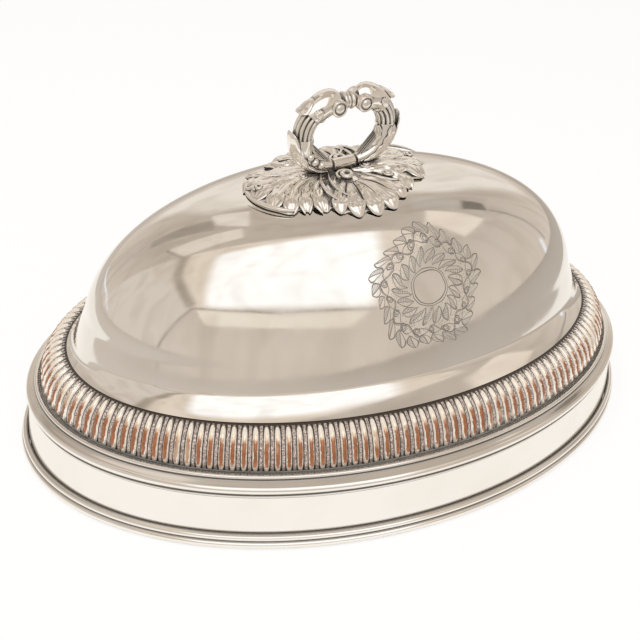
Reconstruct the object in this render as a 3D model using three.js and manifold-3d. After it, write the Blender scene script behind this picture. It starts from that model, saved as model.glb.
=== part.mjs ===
// Oval meat dish cover with a detachable ring handle, in millimetres.
// +Z is up, +X runs along the oval, and the origin is the middle of the foot.

import * as THREE from 'three';
import { mergeVertices } from 'three/addons/utils/BufferGeometryUtils.js';
import Module from 'manifold-3d';

const wasm = await Module();
wasm.setup();

// Driving dimensions of the oval body
const LENGTH = 560;
const WIDTH = 372;
const HALF_DIFFERENCE = (LENGTH - WIDTH) / 2;
const GAP = 0.3;
const RING_STEPS = 48;

// Skirt, foot and shoulder
const SHEET = 1.2;
const FOOT_HEIGHT = 13.3;
const SKIRT_BOTTOM = 273.3;
const SKIRT_TOP = 268;
const SKIRT_HEIGHT = 46;
const FOOT_WIRE_RADIUS = 1.5;

// Fluted band
const FLUTES = 154;
const FLUTE_RELIEF = 2.3;
// Share of a flute's pitch and height of the lobe there: up over the lobe, then along the flat reed
const FLUTE_SECTION = [[0.08, 0.92], [0.4, 0.92], [0.5, 0.2], [0.98, 0.2]];
// Turn of the band's section in degrees and what is left of the lobe there
const FLUTE_ROWS = [[0.3, 0.25], [7, 0.85], [30, 1], [53, 1], [73, 0.65], [86, 0]];
const BAND_BOTTOM_Z = 60.7;
const BAND_TOP_Z = 89;
const BAND_OUTER = 256;
const BAND_TOP_OUTER = 233.4;
const BAND_PATH = 246;
const BAND_SHEET = 1.1;

// Dome
const DOME_RIM_Z = 89.3;
const DOME_BASE_Z = 86.6;
const DOME_APEX_Z = 223;
const DOME_HALF_LENGTH = 221.1;
const DOME_FLARE = 12.2;
const DOME_FLARE_HEIGHT = 15;
const DOME_FLARE_POWER = 2.4;
const DOME_LONG_POWERS = [2.33, 2.57];
const DOME_SHORT_POWERS = [0.98, 3.11];
const DOME_SHEET = 1.2;

// Fixing of the handle, a little off the middle of the crown
const HANDLE_X = -4.7;
const STUD_RADIUS = 2.4;
const STUD_HOLE = STUD_RADIUS + GAP;
const STUD_TOP_Z = 230.4;
const STUD_BOTTOM_Z = 200;
const BACKING_RADIUS = 16;
const WASHER_RADIUS = 9;
const NUT_HUB_RADIUS = 6;
const NUT_HUB_HEIGHT = 6.7;
const NUT_WING_SPAN = 34;

// Foliate mount
const MOUNT_LEFT_REACH = 84;
const MOUNT_RIGHT_REACH = 72;
const MOUNT_FRONT_REACH = 55;
const MOUNT_CENTRE_Z = 226.9;
const MOUNT_RIM_THICKNESS = 2;
const MOUNT_CLEARANCE = 0.7;

// Ring handle: a plane turned about Z, with u along it and the ring's centre on the Z axis
const HANDLE_YAW = THREE.MathUtils.degToRad(10.5);
const HANDLE_CENTRE_Z = 258;
const HANDLE_HALF_WIDTH = 37.5;
const HANDLE_HALF_HEIGHT = 26;
const HANDLE_SQUARENESS = 2.5;
const SLEEVE_HALF_LENGTH = 9.8;
const SLEEVE_RADIUS = 4.7;
const ARM_RADIUS = 8;
const ARM_CORE_RADIUS = 3.6;
const REEDS = 9;
const CAP_RADIUS = 10.8;
const VOLUTE_RADIUS = 6.2;
const VOLUTE_WIDTH = 18;
const VOLUTE_X = 12;
const VOLUTE_Z = 279.4;
const COLLAR_HALF_LENGTH = 5;
const COLLAR_RADIUS = 7.2;
const BERRY_RADIUS = 3.1;
const BERRY_SEAT = 6;

// Colours
const SILVER = { color: 0xd8cec0, metalness: 1, roughness: 0.18 };
const WORN_SILVER = { color: 0xc48f6a, metalness: 1, roughness: 0.3 };
const OLD_SILVER = { color: 0xb9ab9b, metalness: 1, roughness: 0.32 };
const TINNED = { color: 0x9a958c, metalness: 1, roughness: 0.45 };
const BRASS = { color: 0xb08d4c, metalness: 1, roughness: 0.35 };

const root = new THREE.Group();
const fixing = new THREE.Group();
fixing.position.x = HANDLE_X;
root.add(fixing);
const handle = new THREE.Group();
handle.rotation.z = HANDLE_YAW;
fixing.add(handle);

// Helpers for closed solids

function signedVolume(points, triangles) {
  let volume = 0;
  for (let i = 0; i < triangles.length; i += 3) {
    const [a, b, c] = [0, 1, 2].map((k) => points[triangles[i + k]]);
    volume += a.dot(b.clone().cross(c)) / 6;
  }
  return volume;
}

function geometryFrom(points, triangles) {
  if (signedVolume(points, triangles) < 0) triangles.reverse();
  const geometry = new THREE.BufferGeometry().setFromPoints(points);
  geometry.setIndex(triangles);
  return geometry;
}

// Joins rows of equal length into one closed skin. Each row is a closed ring of points.
// With cap false the last row joins the first, and with cap true both ends are filled.
function skin(rows, cap) {
  const count = rows[0].length;
  const points = rows.flat();
  const triangles = [];
  const bands = cap ? rows.length - 1 : rows.length;
  for (let r = 0; r < bands; r++) {
    const next = ((r + 1) % rows.length) * count;
    for (let i = 0; i < count; i++) {
      const j = (i + 1) % count;
      triangles.push(r * count + i, r * count + j, next + i);
      triangles.push(r * count + j, next + j, next + i);
    }
  }
  if (cap) {
    fillRing(points, triangles, 0, count, false);
    fillRing(points, triangles, (rows.length - 1) * count, count, true);
  }
  return geometryFrom(points, triangles);
}

function fillRing(points, triangles, first, count, forward) {
  const middle = new THREE.Vector3();
  for (let i = 0; i < count; i++) middle.addScaledVector(points[first + i], 1 / count);
  const centre = points.push(middle) - 1;
  for (let i = 0; i < count; i++) {
    const here = first + i;
    const next = first + ((i + 1) % count);
    if (forward) triangles.push(here, next, centre);
    else triangles.push(next, here, centre);
  }
}

function solid(geometry) {
  const plain = geometry.clone();
  plain.deleteAttribute('normal');
  plain.deleteAttribute('uv');
  const merged = mergeVertices(plain, 1e-4);
  const vertProperties = new Float32Array(merged.attributes.position.array);
  const triVerts = new Uint32Array(merged.index.array);
  return new wasm.Manifold(new wasm.Mesh({ numProp: 3, vertProperties, triVerts }));
}

function geometryOf(manifold) {
  const mesh = manifold.getMesh();
  const geometry = new THREE.BufferGeometry();
  geometry.setAttribute('position', new THREE.BufferAttribute(mesh.vertProperties, 3));
  geometry.setIndex(new THREE.BufferAttribute(mesh.triVerts, 1));
  return geometry;
}

function addPiece(parent, name, geometry, finish) {
  geometry.computeVertexNormals();
  const mesh = new THREE.Mesh(geometry, new THREE.MeshStandardMaterial(finish));
  mesh.name = name;
  parent.add(mesh);
  return mesh;
}

// Helpers for the oval body

// A ring of points round the oval whose half length is a. Every ring keeps the same distance
// to the next one on its long and its short side, so b is a less a fixed amount.
function ovalRing(a, z, steps = RING_STEPS, b = a - HALF_DIFFERENCE) {
  const ring = [];
  for (let i = 0; i < steps; i++) {
    const t = (2 * Math.PI * i) / steps;
    ring.push(new THREE.Vector3(a * Math.cos(t), b * Math.sin(t), z));
  }
  return ring;
}

function ovalMoulding(profile) {
  return skin(profile.map(([a, z]) => ovalRing(a, z)), false);
}

// Points of an arc in the profile plane, both ends included
function arc(centreA, centreZ, radius, fromDegrees, toDegrees, steps) {
  const points = [];
  for (let i = 0; i <= steps; i++) {
    const angle = THREE.MathUtils.degToRad(fromDegrees + ((toDegrees - fromDegrees) * i) / steps);
    points.push([centreA + radius * Math.cos(angle), centreZ + radius * Math.sin(angle)]);
  }
  return points;
}

// Parameters of the oval at shares of its length, counted from its +x end and sorted
function parametersAt(a, b, shares) {
  const fine = 7200;
  const lengths = [0];
  for (let i = 1; i <= fine; i++) {
    const t = (2 * Math.PI * (i - 0.5)) / fine;
    const step = Math.hypot(a * Math.sin(t), b * Math.cos(t));
    lengths.push(lengths[i - 1] + step);
  }
  let i = 0;
  return shares.map((share) => {
    const wanted = lengths[fine] * share;
    while (lengths[i + 1] < wanted) i++;
    const part = (wanted - lengths[i]) / (lengths[i + 1] - lengths[i]);
    return (2 * Math.PI * (i + part)) / fine;
  });
}

// Body: foot, skirt and shoulder

// A hollow moulding with two reeds outside, open towards the skirt so that it holds the foot wire
function footMoulding() {
  const lowerReed = arc(277, 4.4, 3, -40, 80, 3);
  const upperReed = arc(275.6, 10.4, 2.6, -45, 90, 3);
  return ovalMoulding([
    [273.6, 0],
    [278.6, 0],
    ...lowerReed,
    ...upperReed,
    [273.6, FOOT_HEIGHT],
    [273.6, 12.2],
    [275.4, 10.6],
    [277.2, 4.6],
    [277, 1.1],
    [273.6, 1.1],
  ]);
}

function footWire() {
  return ovalMoulding(arc(275.2, 3.6, FOOT_WIRE_RADIUS, 0, 288, 4));
}

function skirt() {
  return ovalMoulding([
    [SKIRT_BOTTOM - SHEET, 0.8],
    [SKIRT_BOTTOM, 0.8],
    [SKIRT_BOTTOM, FOOT_HEIGHT],
    [SKIRT_TOP, SKIRT_HEIGHT],
    [SKIRT_TOP - SHEET, SKIRT_HEIGHT],
    [SKIRT_BOTTOM - SHEET, FOOT_HEIGHT],
  ]);
}

function shoulderMoulding() {
  const start = SKIRT_HEIGHT + GAP;
  const bead = arc(268, start + 0.8, 0.9, -60, 60, 2);
  const halfRound = arc(266.3, 53, 3.8, -70, 70, 4);
  return ovalMoulding([
    [265, start],
    ...bead,
    [266.4, 48.8],
    ...halfRound,
    [263.2, 58.5],
    [258, 58.5],
    [262.4, 52],
  ]);
}

function milledBead() {
  return ovalMoulding([
    [253.4, 58.8],
    [262.2, 58.8],
    ...arc(260.7, 60.3, 1.7, -30, 135, 3),
    [258.6, 61.6],
    [257.6, 60.4],
    [253.4, 60.4],
  ]);
}

// Fluted band: a quarter-round shell with a round lobe and a flat reed in every flute

// A row of points round the band at a turn of its section. Each column is a place on the middle oval
// with the height of the flutes there, and the section stands square to the oval.
function bandRow(columns, degrees, inset, lobe) {
  const b = BAND_PATH - HALF_DIFFERENCE;
  const turn = THREE.MathUtils.degToRad(degrees);
  const width = BAND_OUTER - BAND_TOP_OUTER;
  const height = BAND_TOP_Z - BAND_BOTTOM_Z;
  return columns.map(([t, share]) => {
    const reach = FLUTE_RELIEF * share * lobe - inset;
    const a = BAND_TOP_OUTER - FLUTE_RELIEF / 2 + (width + reach) * Math.cos(turn);
    const z = BAND_BOTTOM_Z + (height + reach) * Math.sin(turn);
    const outward = new THREE.Vector2(b * Math.cos(t), BAND_PATH * Math.sin(t)).normalize();
    return new THREE.Vector3(
      BAND_PATH * Math.cos(t) + outward.x * (a - BAND_PATH),
      b * Math.sin(t) + outward.y * (a - BAND_PATH),
      Math.min(z, BAND_TOP_Z),
    );
  });
}

// Triangles between a row with one point for each flute and a row with a point for each column.
// Both numbers are where the rows start, and the coarse point of a flute lies at its first column.
function fanStrip(triangles, coarse, fine, columns, outward) {
  const add = (a, b, c) => (outward ? triangles.push(a, b, c) : triangles.push(b, a, c));
  const count = FLUTES * columns;
  for (let flute = 0; flute < FLUTES; flute++) {
    const here = coarse + flute;
    const next = coarse + ((flute + 1) % FLUTES);
    const middle = Math.floor(columns / 2);
    for (let column = 0; column < columns; column++) {
      const first = fine + flute * columns + column;
      const second = fine + ((flute * columns + column + 1) % count);
      add(first, second, column < middle ? here : next);
    }
    add(fine + flute * columns + middle, next, here);
  }
}

function flutedBand() {
  const perFlute = FLUTE_SECTION.length;
  const shares = [];
  for (let flute = 0; flute < FLUTES; flute++) {
    FLUTE_SECTION.forEach(([share]) => shares.push((flute + share) / FLUTES));
  }
  const parameters = parametersAt(BAND_PATH, BAND_PATH - HALF_DIFFERENCE, shares);
  const columns = parameters.map((t, i) => [t, FLUTE_SECTION[i % perFlute][1]]);
  const insideColumns = columns.filter((column, i) => i % perFlute === 0);
  const outside = FLUTE_ROWS.map(([degrees, lobe]) => bandRow(columns, degrees, 0, lobe));
  const inside = [86, 43, 0.3].map((degrees) => bandRow(insideColumns, degrees, BAND_SHEET, 0));
  const points = [...outside.flat(), ...inside.flat()];
  const triangles = [];
  const strips = (start, rows, count) => {
    for (let r = 0; r < rows - 1; r++) {
      for (let i = 0; i < count; i++) {
        const here = start + r * count + i;
        const beside = start + r * count + ((i + 1) % count);
        triangles.push(here, beside, here + count);
        triangles.push(beside, beside + count, here + count);
      }
    }
  };
  const insideStart = outside.length * columns.length;
  strips(0, outside.length, columns.length);
  strips(insideStart, inside.length, FLUTES);
  fanStrip(triangles, insideStart, (outside.length - 1) * columns.length, perFlute, true);
  fanStrip(triangles, insideStart + (inside.length - 1) * FLUTES, 0, perFlute, false);
  return geometryFrom(points, triangles);
}

// Dome: half length and half width at a height, with the rim flaring out over the band.
// Each side view is a superellipse quarter: the first power rounds the crown, the second the wall.

function domeHalfSizes(z, inset) {
  const apex = DOME_APEX_Z - inset;
  const rise = Math.min((z - DOME_BASE_Z) / (apex - DOME_BASE_Z), 1);
  const low = Math.max((DOME_RIM_Z + DOME_FLARE_HEIGHT - z) / DOME_FLARE_HEIGHT, 0);
  const flare = DOME_FLARE * low ** DOME_FLARE_POWER;
  const halfWidth = DOME_HALF_LENGTH - HALF_DIFFERENCE;
  const quarter = ([crown, wall]) => (1 - rise ** crown) ** (1 / wall);
  const a = (DOME_HALF_LENGTH - inset) * quarter(DOME_LONG_POWERS);
  const b = (halfWidth - inset) * quarter(DOME_SHORT_POWERS);
  return [a + flare, b + flare];
}

function domeRow(z, inset) {
  const [a, b] = domeHalfSizes(z, inset);
  return ovalRing(a, z, RING_STEPS, b);
}

function dome() {
  const shift = new THREE.Vector3(HANDLE_X, 0, 0);
  const apexHole = (z) => ovalRing(STUD_HOLE, z, RING_STEPS, STUD_HOLE).map((p) => p.add(shift));
  const outside = [DOME_RIM_Z, 91.5, 96, 103, 122, 146, 169, 189, 204, 214, 220.5];
  const inside = [219, 210, 191, 162, 129, 103, 96, DOME_RIM_Z];
  return skin([
    ...outside.map((z) => domeRow(z, 0)),
    apexHole(DOME_APEX_Z),
    apexHole(DOME_APEX_Z - DOME_SHEET),
    ...inside.map((z) => domeRow(z, DOME_SHEET)),
  ], false);
}

// Height of the dome's outside over a point of the plan
function domeHeight(x, y) {
  let low = DOME_RIM_Z + DOME_FLARE_HEIGHT;
  let high = DOME_APEX_Z;
  for (let i = 0; i < 30; i++) {
    const z = (low + high) / 2;
    const [a, b] = domeHalfSizes(z, 0);
    if ((x / a) ** 2 + (y / b) ** 2 < 1) low = z;
    else high = z;
  }
  return low;
}

// Foliate mount: a plate with a leafy outline that follows the dome and rises to its centre.
// The outline is the front half from the left tip to the right one, as shares of the reach to
// each side, and it repeats behind turned by half a turn.

const MOUNT_OUTLINE = [
  [-1, -0.2], [-0.93, -0.46], [-0.78, -0.64], [-0.6, -0.75], [-0.45, -0.72], [-0.34, -0.82],
  [-0.23, -0.88], [-0.07, -1], [0.05, -0.95], [0.16, -1], [0.27, -0.94], [0.44, -0.88],
  [0.44, -0.54], [0.56, -0.64], [0.68, -0.42], [0.88, -0.36], [0.96, -0.1],
];

function mountPoint([along, across]) {
  const reach = along < 0 ? MOUNT_LEFT_REACH : MOUNT_RIGHT_REACH;
  return new THREE.Vector3(along * reach, across * MOUNT_FRONT_REACH, 0);
}

function mountPlate() {
  const front = MOUNT_OUTLINE.map(mountPoint);
  const back = MOUNT_OUTLINE.map(([along, across]) => mountPoint([-along, -across]));
  const outline = new THREE.CatmullRomCurve3([...front, ...back], true, 'centripetal');
  const steps = 68;
  const rim = [...Array(steps).keys()].map((i) => outline.getPoint(i / steps));
  const hole = rim.map((p) => p.clone().setLength(STUD_HOLE));
  const row = (share, heightAt) => rim.map((p, i) => {
    const at = hole[i].clone().lerp(p, share);
    at.z = heightAt(at, share);
    return at;
  });
  const under = (p) => domeHeight(p.x + HANDLE_X, p.y) + MOUNT_CLEARANCE;
  const over = (p, share) => {
    const thick = MOUNT_RIM_THICKNESS * (1.6 - 0.6 * share);
    return Math.min(under(p) + thick, MOUNT_CENTRE_Z);
  };
  const top = [1, 0.7, 0.4, 0].map((share) => row(share, over));
  const bottom = [0, 0.33, 0.67, 1].map((share) => row(share, under));
  return skin([...top, ...bottom], false);
}

// Ring handle

// A point of the ring's centre line. The turn is 0 at the +u side and 90 at the top.
function ringPoint(turnDegrees) {
  const turn = THREE.MathUtils.degToRad(turnDegrees);
  const power = 2 / HANDLE_SQUARENESS;
  const u = HANDLE_HALF_WIDTH * Math.sign(Math.cos(turn)) * Math.abs(Math.cos(turn)) ** power;
  const z = HANDLE_HALF_HEIGHT * Math.sign(Math.sin(turn)) * Math.abs(Math.sin(turn)) ** power;
  return new THREE.Vector3(u, 0, HANDLE_CENTRE_Z + z);
}

// A ring of points round the handle's centre line. The turn and the radius are given for each
// angle: angle 0 points away from the ring's centre and 90 degrees points along +y. The lift
// moves the whole ring of points away from the centre.
function limbRow(sides, turnAt, radiusAt, lift = 0) {
  return [...Array(sides).keys()].map((i) => {
    const angle = (2 * Math.PI * i) / sides;
    const turn = turnAt(angle);
    const along = ringPoint(turn + 0.5).sub(ringPoint(turn - 0.5)).normalize();
    const outward = new THREE.Vector3(along.z, 0, -along.x);
    const across = new THREE.Vector3(0, 1, 0);
    const radius = radiusAt(angle, i);
    return ringPoint(turn)
      .addScaledVector(outward, lift + radius * Math.cos(angle))
      .addScaledVector(across, radius * Math.sin(angle));
  });
}

// A row square to the centre line at one turn
function squareRow(sides, turn, radiusAt, lift = 0) {
  return limbRow(sides, () => turn, radiusAt, lift);
}

const SHEATH_START = -76;
const SHEATH_END = 3;
const CAP_START = 38;
const CAP_END = 81.5;

// Limb core through the leaf sheath, thickening into the reeded stem below the cap
function armGeometry() {
  const sides = 2 * REEDS;
  const core = () => ARM_CORE_RADIUS;
  const reeded = (angle, i) => ARM_RADIUS - (i % 2) * 1.1;
  const stemStart = SHEATH_END + 1;
  const coreRows = [SHEATH_START, -50, -25, stemStart].map((turn) => squareRow(sides, turn, core));
  const stemRows = [stemStart, 12, 21, 30, CAP_START - 1].map((turn) => squareRow(sides, turn, reeded));
  return skin([...coreRows, ...stemRows], true);
}

// Leaf sheath: a hollow calyx round the core, with a long leaf tip outward, a short one inward
// and three berries on one side
function sheathGeometry() {
  const sides = 12;
  const lip = ARM_RADIUS + GAP;
  const outerLeaf = (angle) => Math.max(Math.cos(angle), 0) ** 3;
  const innerLeaf = (angle) => Math.max(-Math.cos(angle), 0) ** 3;
  const body = [
    { turn: SHEATH_START, radius: SLEEVE_RADIUS, outer: 0 },
    { turn: -50, radius: 6.4, outer: 0.6 },
    { turn: -30, radius: 7.8, outer: 1.2 },
    { turn: -12, radius: 8.8, outer: 1.6 },
  ].map(({ turn, radius, outer }) => squareRow(sides, turn, (angle) => radius + outer * outerLeaf(angle)));
  const tips = limbRow(
    sides,
    (angle) => SHEATH_END + 11 * outerLeaf(angle),
    (angle) => lip + 0.9 + 4.6 * outerLeaf(angle) + 1.2 * innerLeaf(angle),
  );
  const bore = () => ARM_CORE_RADIUS + GAP;
  const boreRows = [SHEATH_END, -25, -50, SHEATH_START].map((turn) => squareRow(sides, turn, bore));
  let piece = solid(skin([...body, tips, squareRow(sides, SHEATH_END, () => lip), ...boreRows], false));
  const core = solid(skin(boreRows, true));
  for (const turn of [-60, -47, -34]) {
    const seat = squareRow(sides, turn, () => BERRY_SEAT)[5];
    const berry = new THREE.IcosahedronGeometry(BERRY_RADIUS, 1);
    berry.translate(seat.x, seat.y, seat.z);
    piece = piece.add(solid(berry).subtract(core));
  }
  return geometryOf(piece);
}

// Scroll cap: a smooth swelling hood, pointed over the stem, that ends in a volute beside the collar
function capGeometry() {
  const sides = 14;
  const rows = [
    { turn: CAP_START, radius: 8.6, lift: 0.4, point: 3.4 },
    { turn: 46, radius: 9.2, lift: 0.8, point: 1.4 },
    { turn: 56, radius: 10, lift: 1.6, point: 0.4 },
    { turn: 66, radius: CAP_RADIUS, lift: 2, point: 0.2 },
    { turn: 74, radius: CAP_RADIUS, lift: 2, point: 0 },
    { turn: CAP_END, radius: 8.6, lift: 0.6, point: 0 },
  ].map(({ turn, radius, lift, point }) => squareRow(
    sides, turn, (angle) => radius + point * Math.max(Math.cos(angle), 0) ** 3, lift));
  const eye = new THREE.CylinderGeometry(VOLUTE_RADIUS, VOLUTE_RADIUS, VOLUTE_WIDTH, 16);
  eye.translate(VOLUTE_X, 0, VOLUTE_Z);
  return geometryOf(solid(skin(rows, true)).add(solid(eye)));
}

// Collar between the two volutes, turned with three rings
function collarGeometry() {
  const profile = [[0, -COLLAR_HALF_LENGTH]];
  for (const middle of [-3.4, 0, 3.4]) {
    const swell = middle === 0 ? COLLAR_RADIUS : COLLAR_RADIUS - 0.6;
    profile.push([swell - 0.9, middle - 1.5], [swell, middle], [swell - 0.9, middle + 1.5]);
  }
  profile.push([0, COLLAR_HALF_LENGTH]);
  const points = profile.map(([radius, along]) => new THREE.Vector2(radius, along));
  const geometry = new THREE.LatheGeometry(points, 18);
  geometry.rotateZ(-Math.PI / 2);
  geometry.translate(0, 0, HANDLE_CENTRE_Z + HANDLE_HALF_HEIGHT);
  return geometry;
}

// Sleeve at the bottom of the ring, with a blind hole for the stud
function sleeveGeometry() {
  const tube = new THREE.CylinderGeometry(SLEEVE_RADIUS, SLEEVE_RADIUS, 2 * SLEEVE_HALF_LENGTH, 24);
  tube.rotateZ(Math.PI / 2);
  tube.translate(0, 0, HANDLE_CENTRE_Z - HANDLE_HALF_HEIGHT);
  const depth = 12;
  const hole = new THREE.CylinderGeometry(STUD_HOLE, STUD_HOLE, depth, 16);
  hole.rotateX(Math.PI / 2);
  hole.translate(0, 0, STUD_TOP_Z + GAP - depth / 2);
  return geometryOf(solid(tube).subtract(solid(hole)));
}

// Fixing under the dome

function upright(geometry, topZ, height) {
  geometry.rotateX(Math.PI / 2);
  geometry.translate(0, 0, topZ - height / 2);
  return geometry;
}

function drilledDisc(radius, topZ, height) {
  const disc = upright(new THREE.CylinderGeometry(radius, radius, height, 32), topZ, height);
  const drill = upright(new THREE.CylinderGeometry(STUD_HOLE, STUD_HOLE, 3 * height, 16), topZ + height, 3 * height);
  return geometryOf(solid(disc).subtract(solid(drill)));
}

// Wing nut: a tapered hub with two ears that lean down and away from the washer
function wingNut(topZ) {
  const hub = upright(
    new THREE.CylinderGeometry(NUT_HUB_RADIUS, NUT_HUB_RADIUS * 0.8, NUT_HUB_HEIGHT, 20), topZ, NUT_HUB_HEIGHT);
  const reach = NUT_WING_SPAN / 2;
  const ear = new THREE.Shape();
  ear.moveTo(3, 2.6);
  ear.quadraticCurveTo(reach * 0.5, 2.4, reach * 0.85, -2.6);
  ear.quadraticCurveTo(reach * 1.15, -9, reach * 0.7, -9);
  ear.quadraticCurveTo(reach * 0.45, -8.2, 3, -3);
  const thickness = 2.4;
  const blade = new THREE.ExtrudeGeometry(ear, { depth: thickness, bevelEnabled: false, curveSegments: 5 });
  blade.rotateX(Math.PI / 2);
  blade.translate(0, thickness / 2, topZ - NUT_HUB_HEIGHT / 2);
  const otherBlade = blade.clone().rotateZ(Math.PI);
  const drill = upright(new THREE.CylinderGeometry(STUD_HOLE, STUD_HOLE, 40, 16), topZ + 10, 40);
  return geometryOf(solid(hub).add(solid(blade)).add(solid(otherBlade)).subtract(solid(drill)));
}

const BACKING_TOP_Z = DOME_APEX_Z - DOME_SHEET - 1.6;
const BACKING_THICKNESS = 1.5;
const WASHER_TOP_Z = BACKING_TOP_Z - BACKING_THICKNESS - GAP;
const WASHER_THICKNESS = 1.2;
const NUT_TOP_Z = WASHER_TOP_Z - WASHER_THICKNESS - GAP;

// Assembly

addPiece(root, 'dome', dome(), SILVER);
addPiece(root, 'fluted_band', flutedBand(), WORN_SILVER);
addPiece(root, 'milled_bead', milledBead(), SILVER);
addPiece(root, 'shoulder_moulding', shoulderMoulding(), SILVER);
addPiece(root, 'skirt', skirt(), SILVER);
addPiece(root, 'foot_moulding', footMoulding(), SILVER);
addPiece(root, 'foot_wire', footWire(), TINNED);
addPiece(fixing, 'handle_mount', mountPlate(), OLD_SILVER);

for (const [side, turn] of [['right', 0], ['left', Math.PI]]) {
  const limb = new THREE.Group();
  limb.rotation.z = turn;
  handle.add(limb);
  addPiece(limb, `handle_arm_${side}`, armGeometry(), OLD_SILVER);
  addPiece(limb, `leaf_sheath_${side}`, sheathGeometry(), OLD_SILVER);
  addPiece(limb, `scroll_cap_${side}`, capGeometry(), SILVER);
}
addPiece(handle, 'top_collar', collarGeometry(), OLD_SILVER);
addPiece(handle, 'handle_sleeve', sleeveGeometry(), OLD_SILVER);

const studHeight = STUD_TOP_Z - STUD_BOTTOM_Z;
const stud = upright(new THREE.CylinderGeometry(STUD_RADIUS, STUD_RADIUS, studHeight, 16), STUD_TOP_Z, studHeight);
addPiece(fixing, 'threaded_stud', stud, BRASS);
addPiece(fixing, 'backing_plate', drilledDisc(BACKING_RADIUS, BACKING_TOP_Z, BACKING_THICKNESS), TINNED);
addPiece(fixing, 'washer', drilledDisc(WASHER_RADIUS, WASHER_TOP_Z, WASHER_THICKNESS), BRASS);
addPiece(fixing, 'wing_nut', wingNut(NUT_TOP_Z), BRASS);

export default root;
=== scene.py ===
# %% [markdown]
# # An oval meat dish cover with a ring handle
#
# The cover is silver plate on copper: a raised dome over a band of flutes, a plain skirt and a reeded foot.
# A leafy casting on the crown carries a ring handle, and a wing nut inside holds the two on.
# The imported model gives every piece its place. Here each piece gets the surface that the real one shows.

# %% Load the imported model
import math

import bpy
from mathutils import Matrix, Vector
from mathutils.bvhtree import BVHTree


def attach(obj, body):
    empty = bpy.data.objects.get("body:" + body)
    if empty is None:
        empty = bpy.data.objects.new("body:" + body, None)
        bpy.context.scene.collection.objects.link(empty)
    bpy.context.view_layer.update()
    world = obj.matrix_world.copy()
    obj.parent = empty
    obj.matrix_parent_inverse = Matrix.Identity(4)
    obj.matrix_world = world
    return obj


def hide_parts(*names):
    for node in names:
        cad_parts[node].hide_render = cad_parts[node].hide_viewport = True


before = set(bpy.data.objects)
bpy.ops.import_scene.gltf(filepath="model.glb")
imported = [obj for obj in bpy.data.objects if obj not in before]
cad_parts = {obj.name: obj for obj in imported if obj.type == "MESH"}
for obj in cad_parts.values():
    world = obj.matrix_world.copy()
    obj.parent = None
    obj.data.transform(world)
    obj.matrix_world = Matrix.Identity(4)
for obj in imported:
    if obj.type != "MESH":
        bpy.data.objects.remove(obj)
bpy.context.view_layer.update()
MM = 0.001
print("nodes in the frame:", len(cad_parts))

# %% [markdown]
# ## Working with operators
#
# Most pieces start as a circle or a grid and are shaped in edit mode, as by hand. A circle that is extruded
# ring by ring, and scaled a little at each step, gives every turned or raised shell. The last ring is bridged
# to the first one, so the shell closes on itself and has a real wall.

# %% Helpers for edit mode
def clear_selection():
    bpy.ops.object.select_all(action="DESELECT")


def new_piece(name):
    piece = bpy.context.object
    piece.name = name
    piece.data.name = name
    return piece


def pick_vertices(piece, chosen):
    """Leaves the piece in edit mode with only the chosen vertex numbers selected."""
    bpy.ops.object.mode_set(mode="EDIT")
    bpy.ops.mesh.select_mode(type="VERT")
    bpy.ops.mesh.select_all(action="DESELECT")
    bpy.ops.object.mode_set(mode="OBJECT")
    picked = set(chosen)
    piece.data.vertices.foreach_set("select", [i in picked for i in range(len(piece.data.vertices))])
    bpy.ops.object.mode_set(mode="EDIT")


def finish_mesh(piece, smooth_angle=40):
    """Merges doubles, turns all faces outward and smooths what isn't a sharp edge."""
    clear_selection()
    bpy.context.view_layer.objects.active = piece
    piece.select_set(True)
    bpy.ops.object.mode_set(mode="EDIT")
    bpy.ops.mesh.select_all(action="SELECT")
    bpy.ops.mesh.remove_doubles(threshold=0.00001)
    bpy.ops.mesh.normals_make_consistent(inside=False)
    bpy.ops.object.mode_set(mode="OBJECT")
    bpy.ops.object.shade_smooth_by_angle(angle=math.radians(smooth_angle))
    return piece


def closed_shell(name, rings, sides, smooth_angle=40):
    """A shell whose section runs through the rings: half length, half width, height and shift in x, in mm."""
    clear_selection()
    bpy.ops.mesh.primitive_circle_add(vertices=sides, radius=1, fill_type="NOTHING")
    piece = new_piece(name)
    bpy.ops.object.mode_set(mode="EDIT")
    bpy.ops.mesh.select_all(action="SELECT")
    a, b, z, x = rings[0]
    bpy.ops.transform.resize(value=(a * MM, b * MM, 1))
    bpy.ops.transform.translate(value=(x * MM, 0, z * MM))
    for (a, b, z, x), (next_a, next_b, next_z, next_x) in zip(rings, rings[1:]):
        move = ((next_x - x) * MM, 0, (next_z - z) * MM)
        bpy.ops.mesh.extrude_region_move(TRANSFORM_OT_translate={"value": move})
        bpy.ops.transform.resize(value=(next_a / a, next_b / b, 1))
    bpy.ops.object.mode_set(mode="OBJECT")
    count = len(piece.data.vertices)
    pick_vertices(piece, [*range(sides), *range(count - sides, count)])
    bpy.ops.mesh.bridge_edge_loops()
    bpy.ops.object.mode_set(mode="OBJECT")
    return finish_mesh(piece, smooth_angle)


def apply_modifiers(piece):
    clear_selection()
    bpy.context.view_layer.objects.active = piece
    piece.select_set(True)
    for modifier in list(piece.modifiers):
        bpy.ops.object.modifier_apply(modifier=modifier.name)


def copy_piece(piece, name):
    clear_selection()
    piece.select_set(True)
    bpy.context.view_layer.objects.active = piece
    bpy.ops.object.duplicate(linked=False)
    return new_piece(name)


def join_pieces(name, pieces):
    clear_selection()
    for piece in pieces:
        piece.select_set(True)
    bpy.context.view_layer.objects.active = pieces[0]
    bpy.ops.object.join()
    return new_piece(name)


def place(piece, slot, *nodes, body="cover"):
    """Says what the piece stands for and what it rides on. The slot, its finish, is not used."""
    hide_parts(*nodes)
    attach(piece, body)
    print(piece.name, "faces", len(piece.data.polygons))


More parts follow.
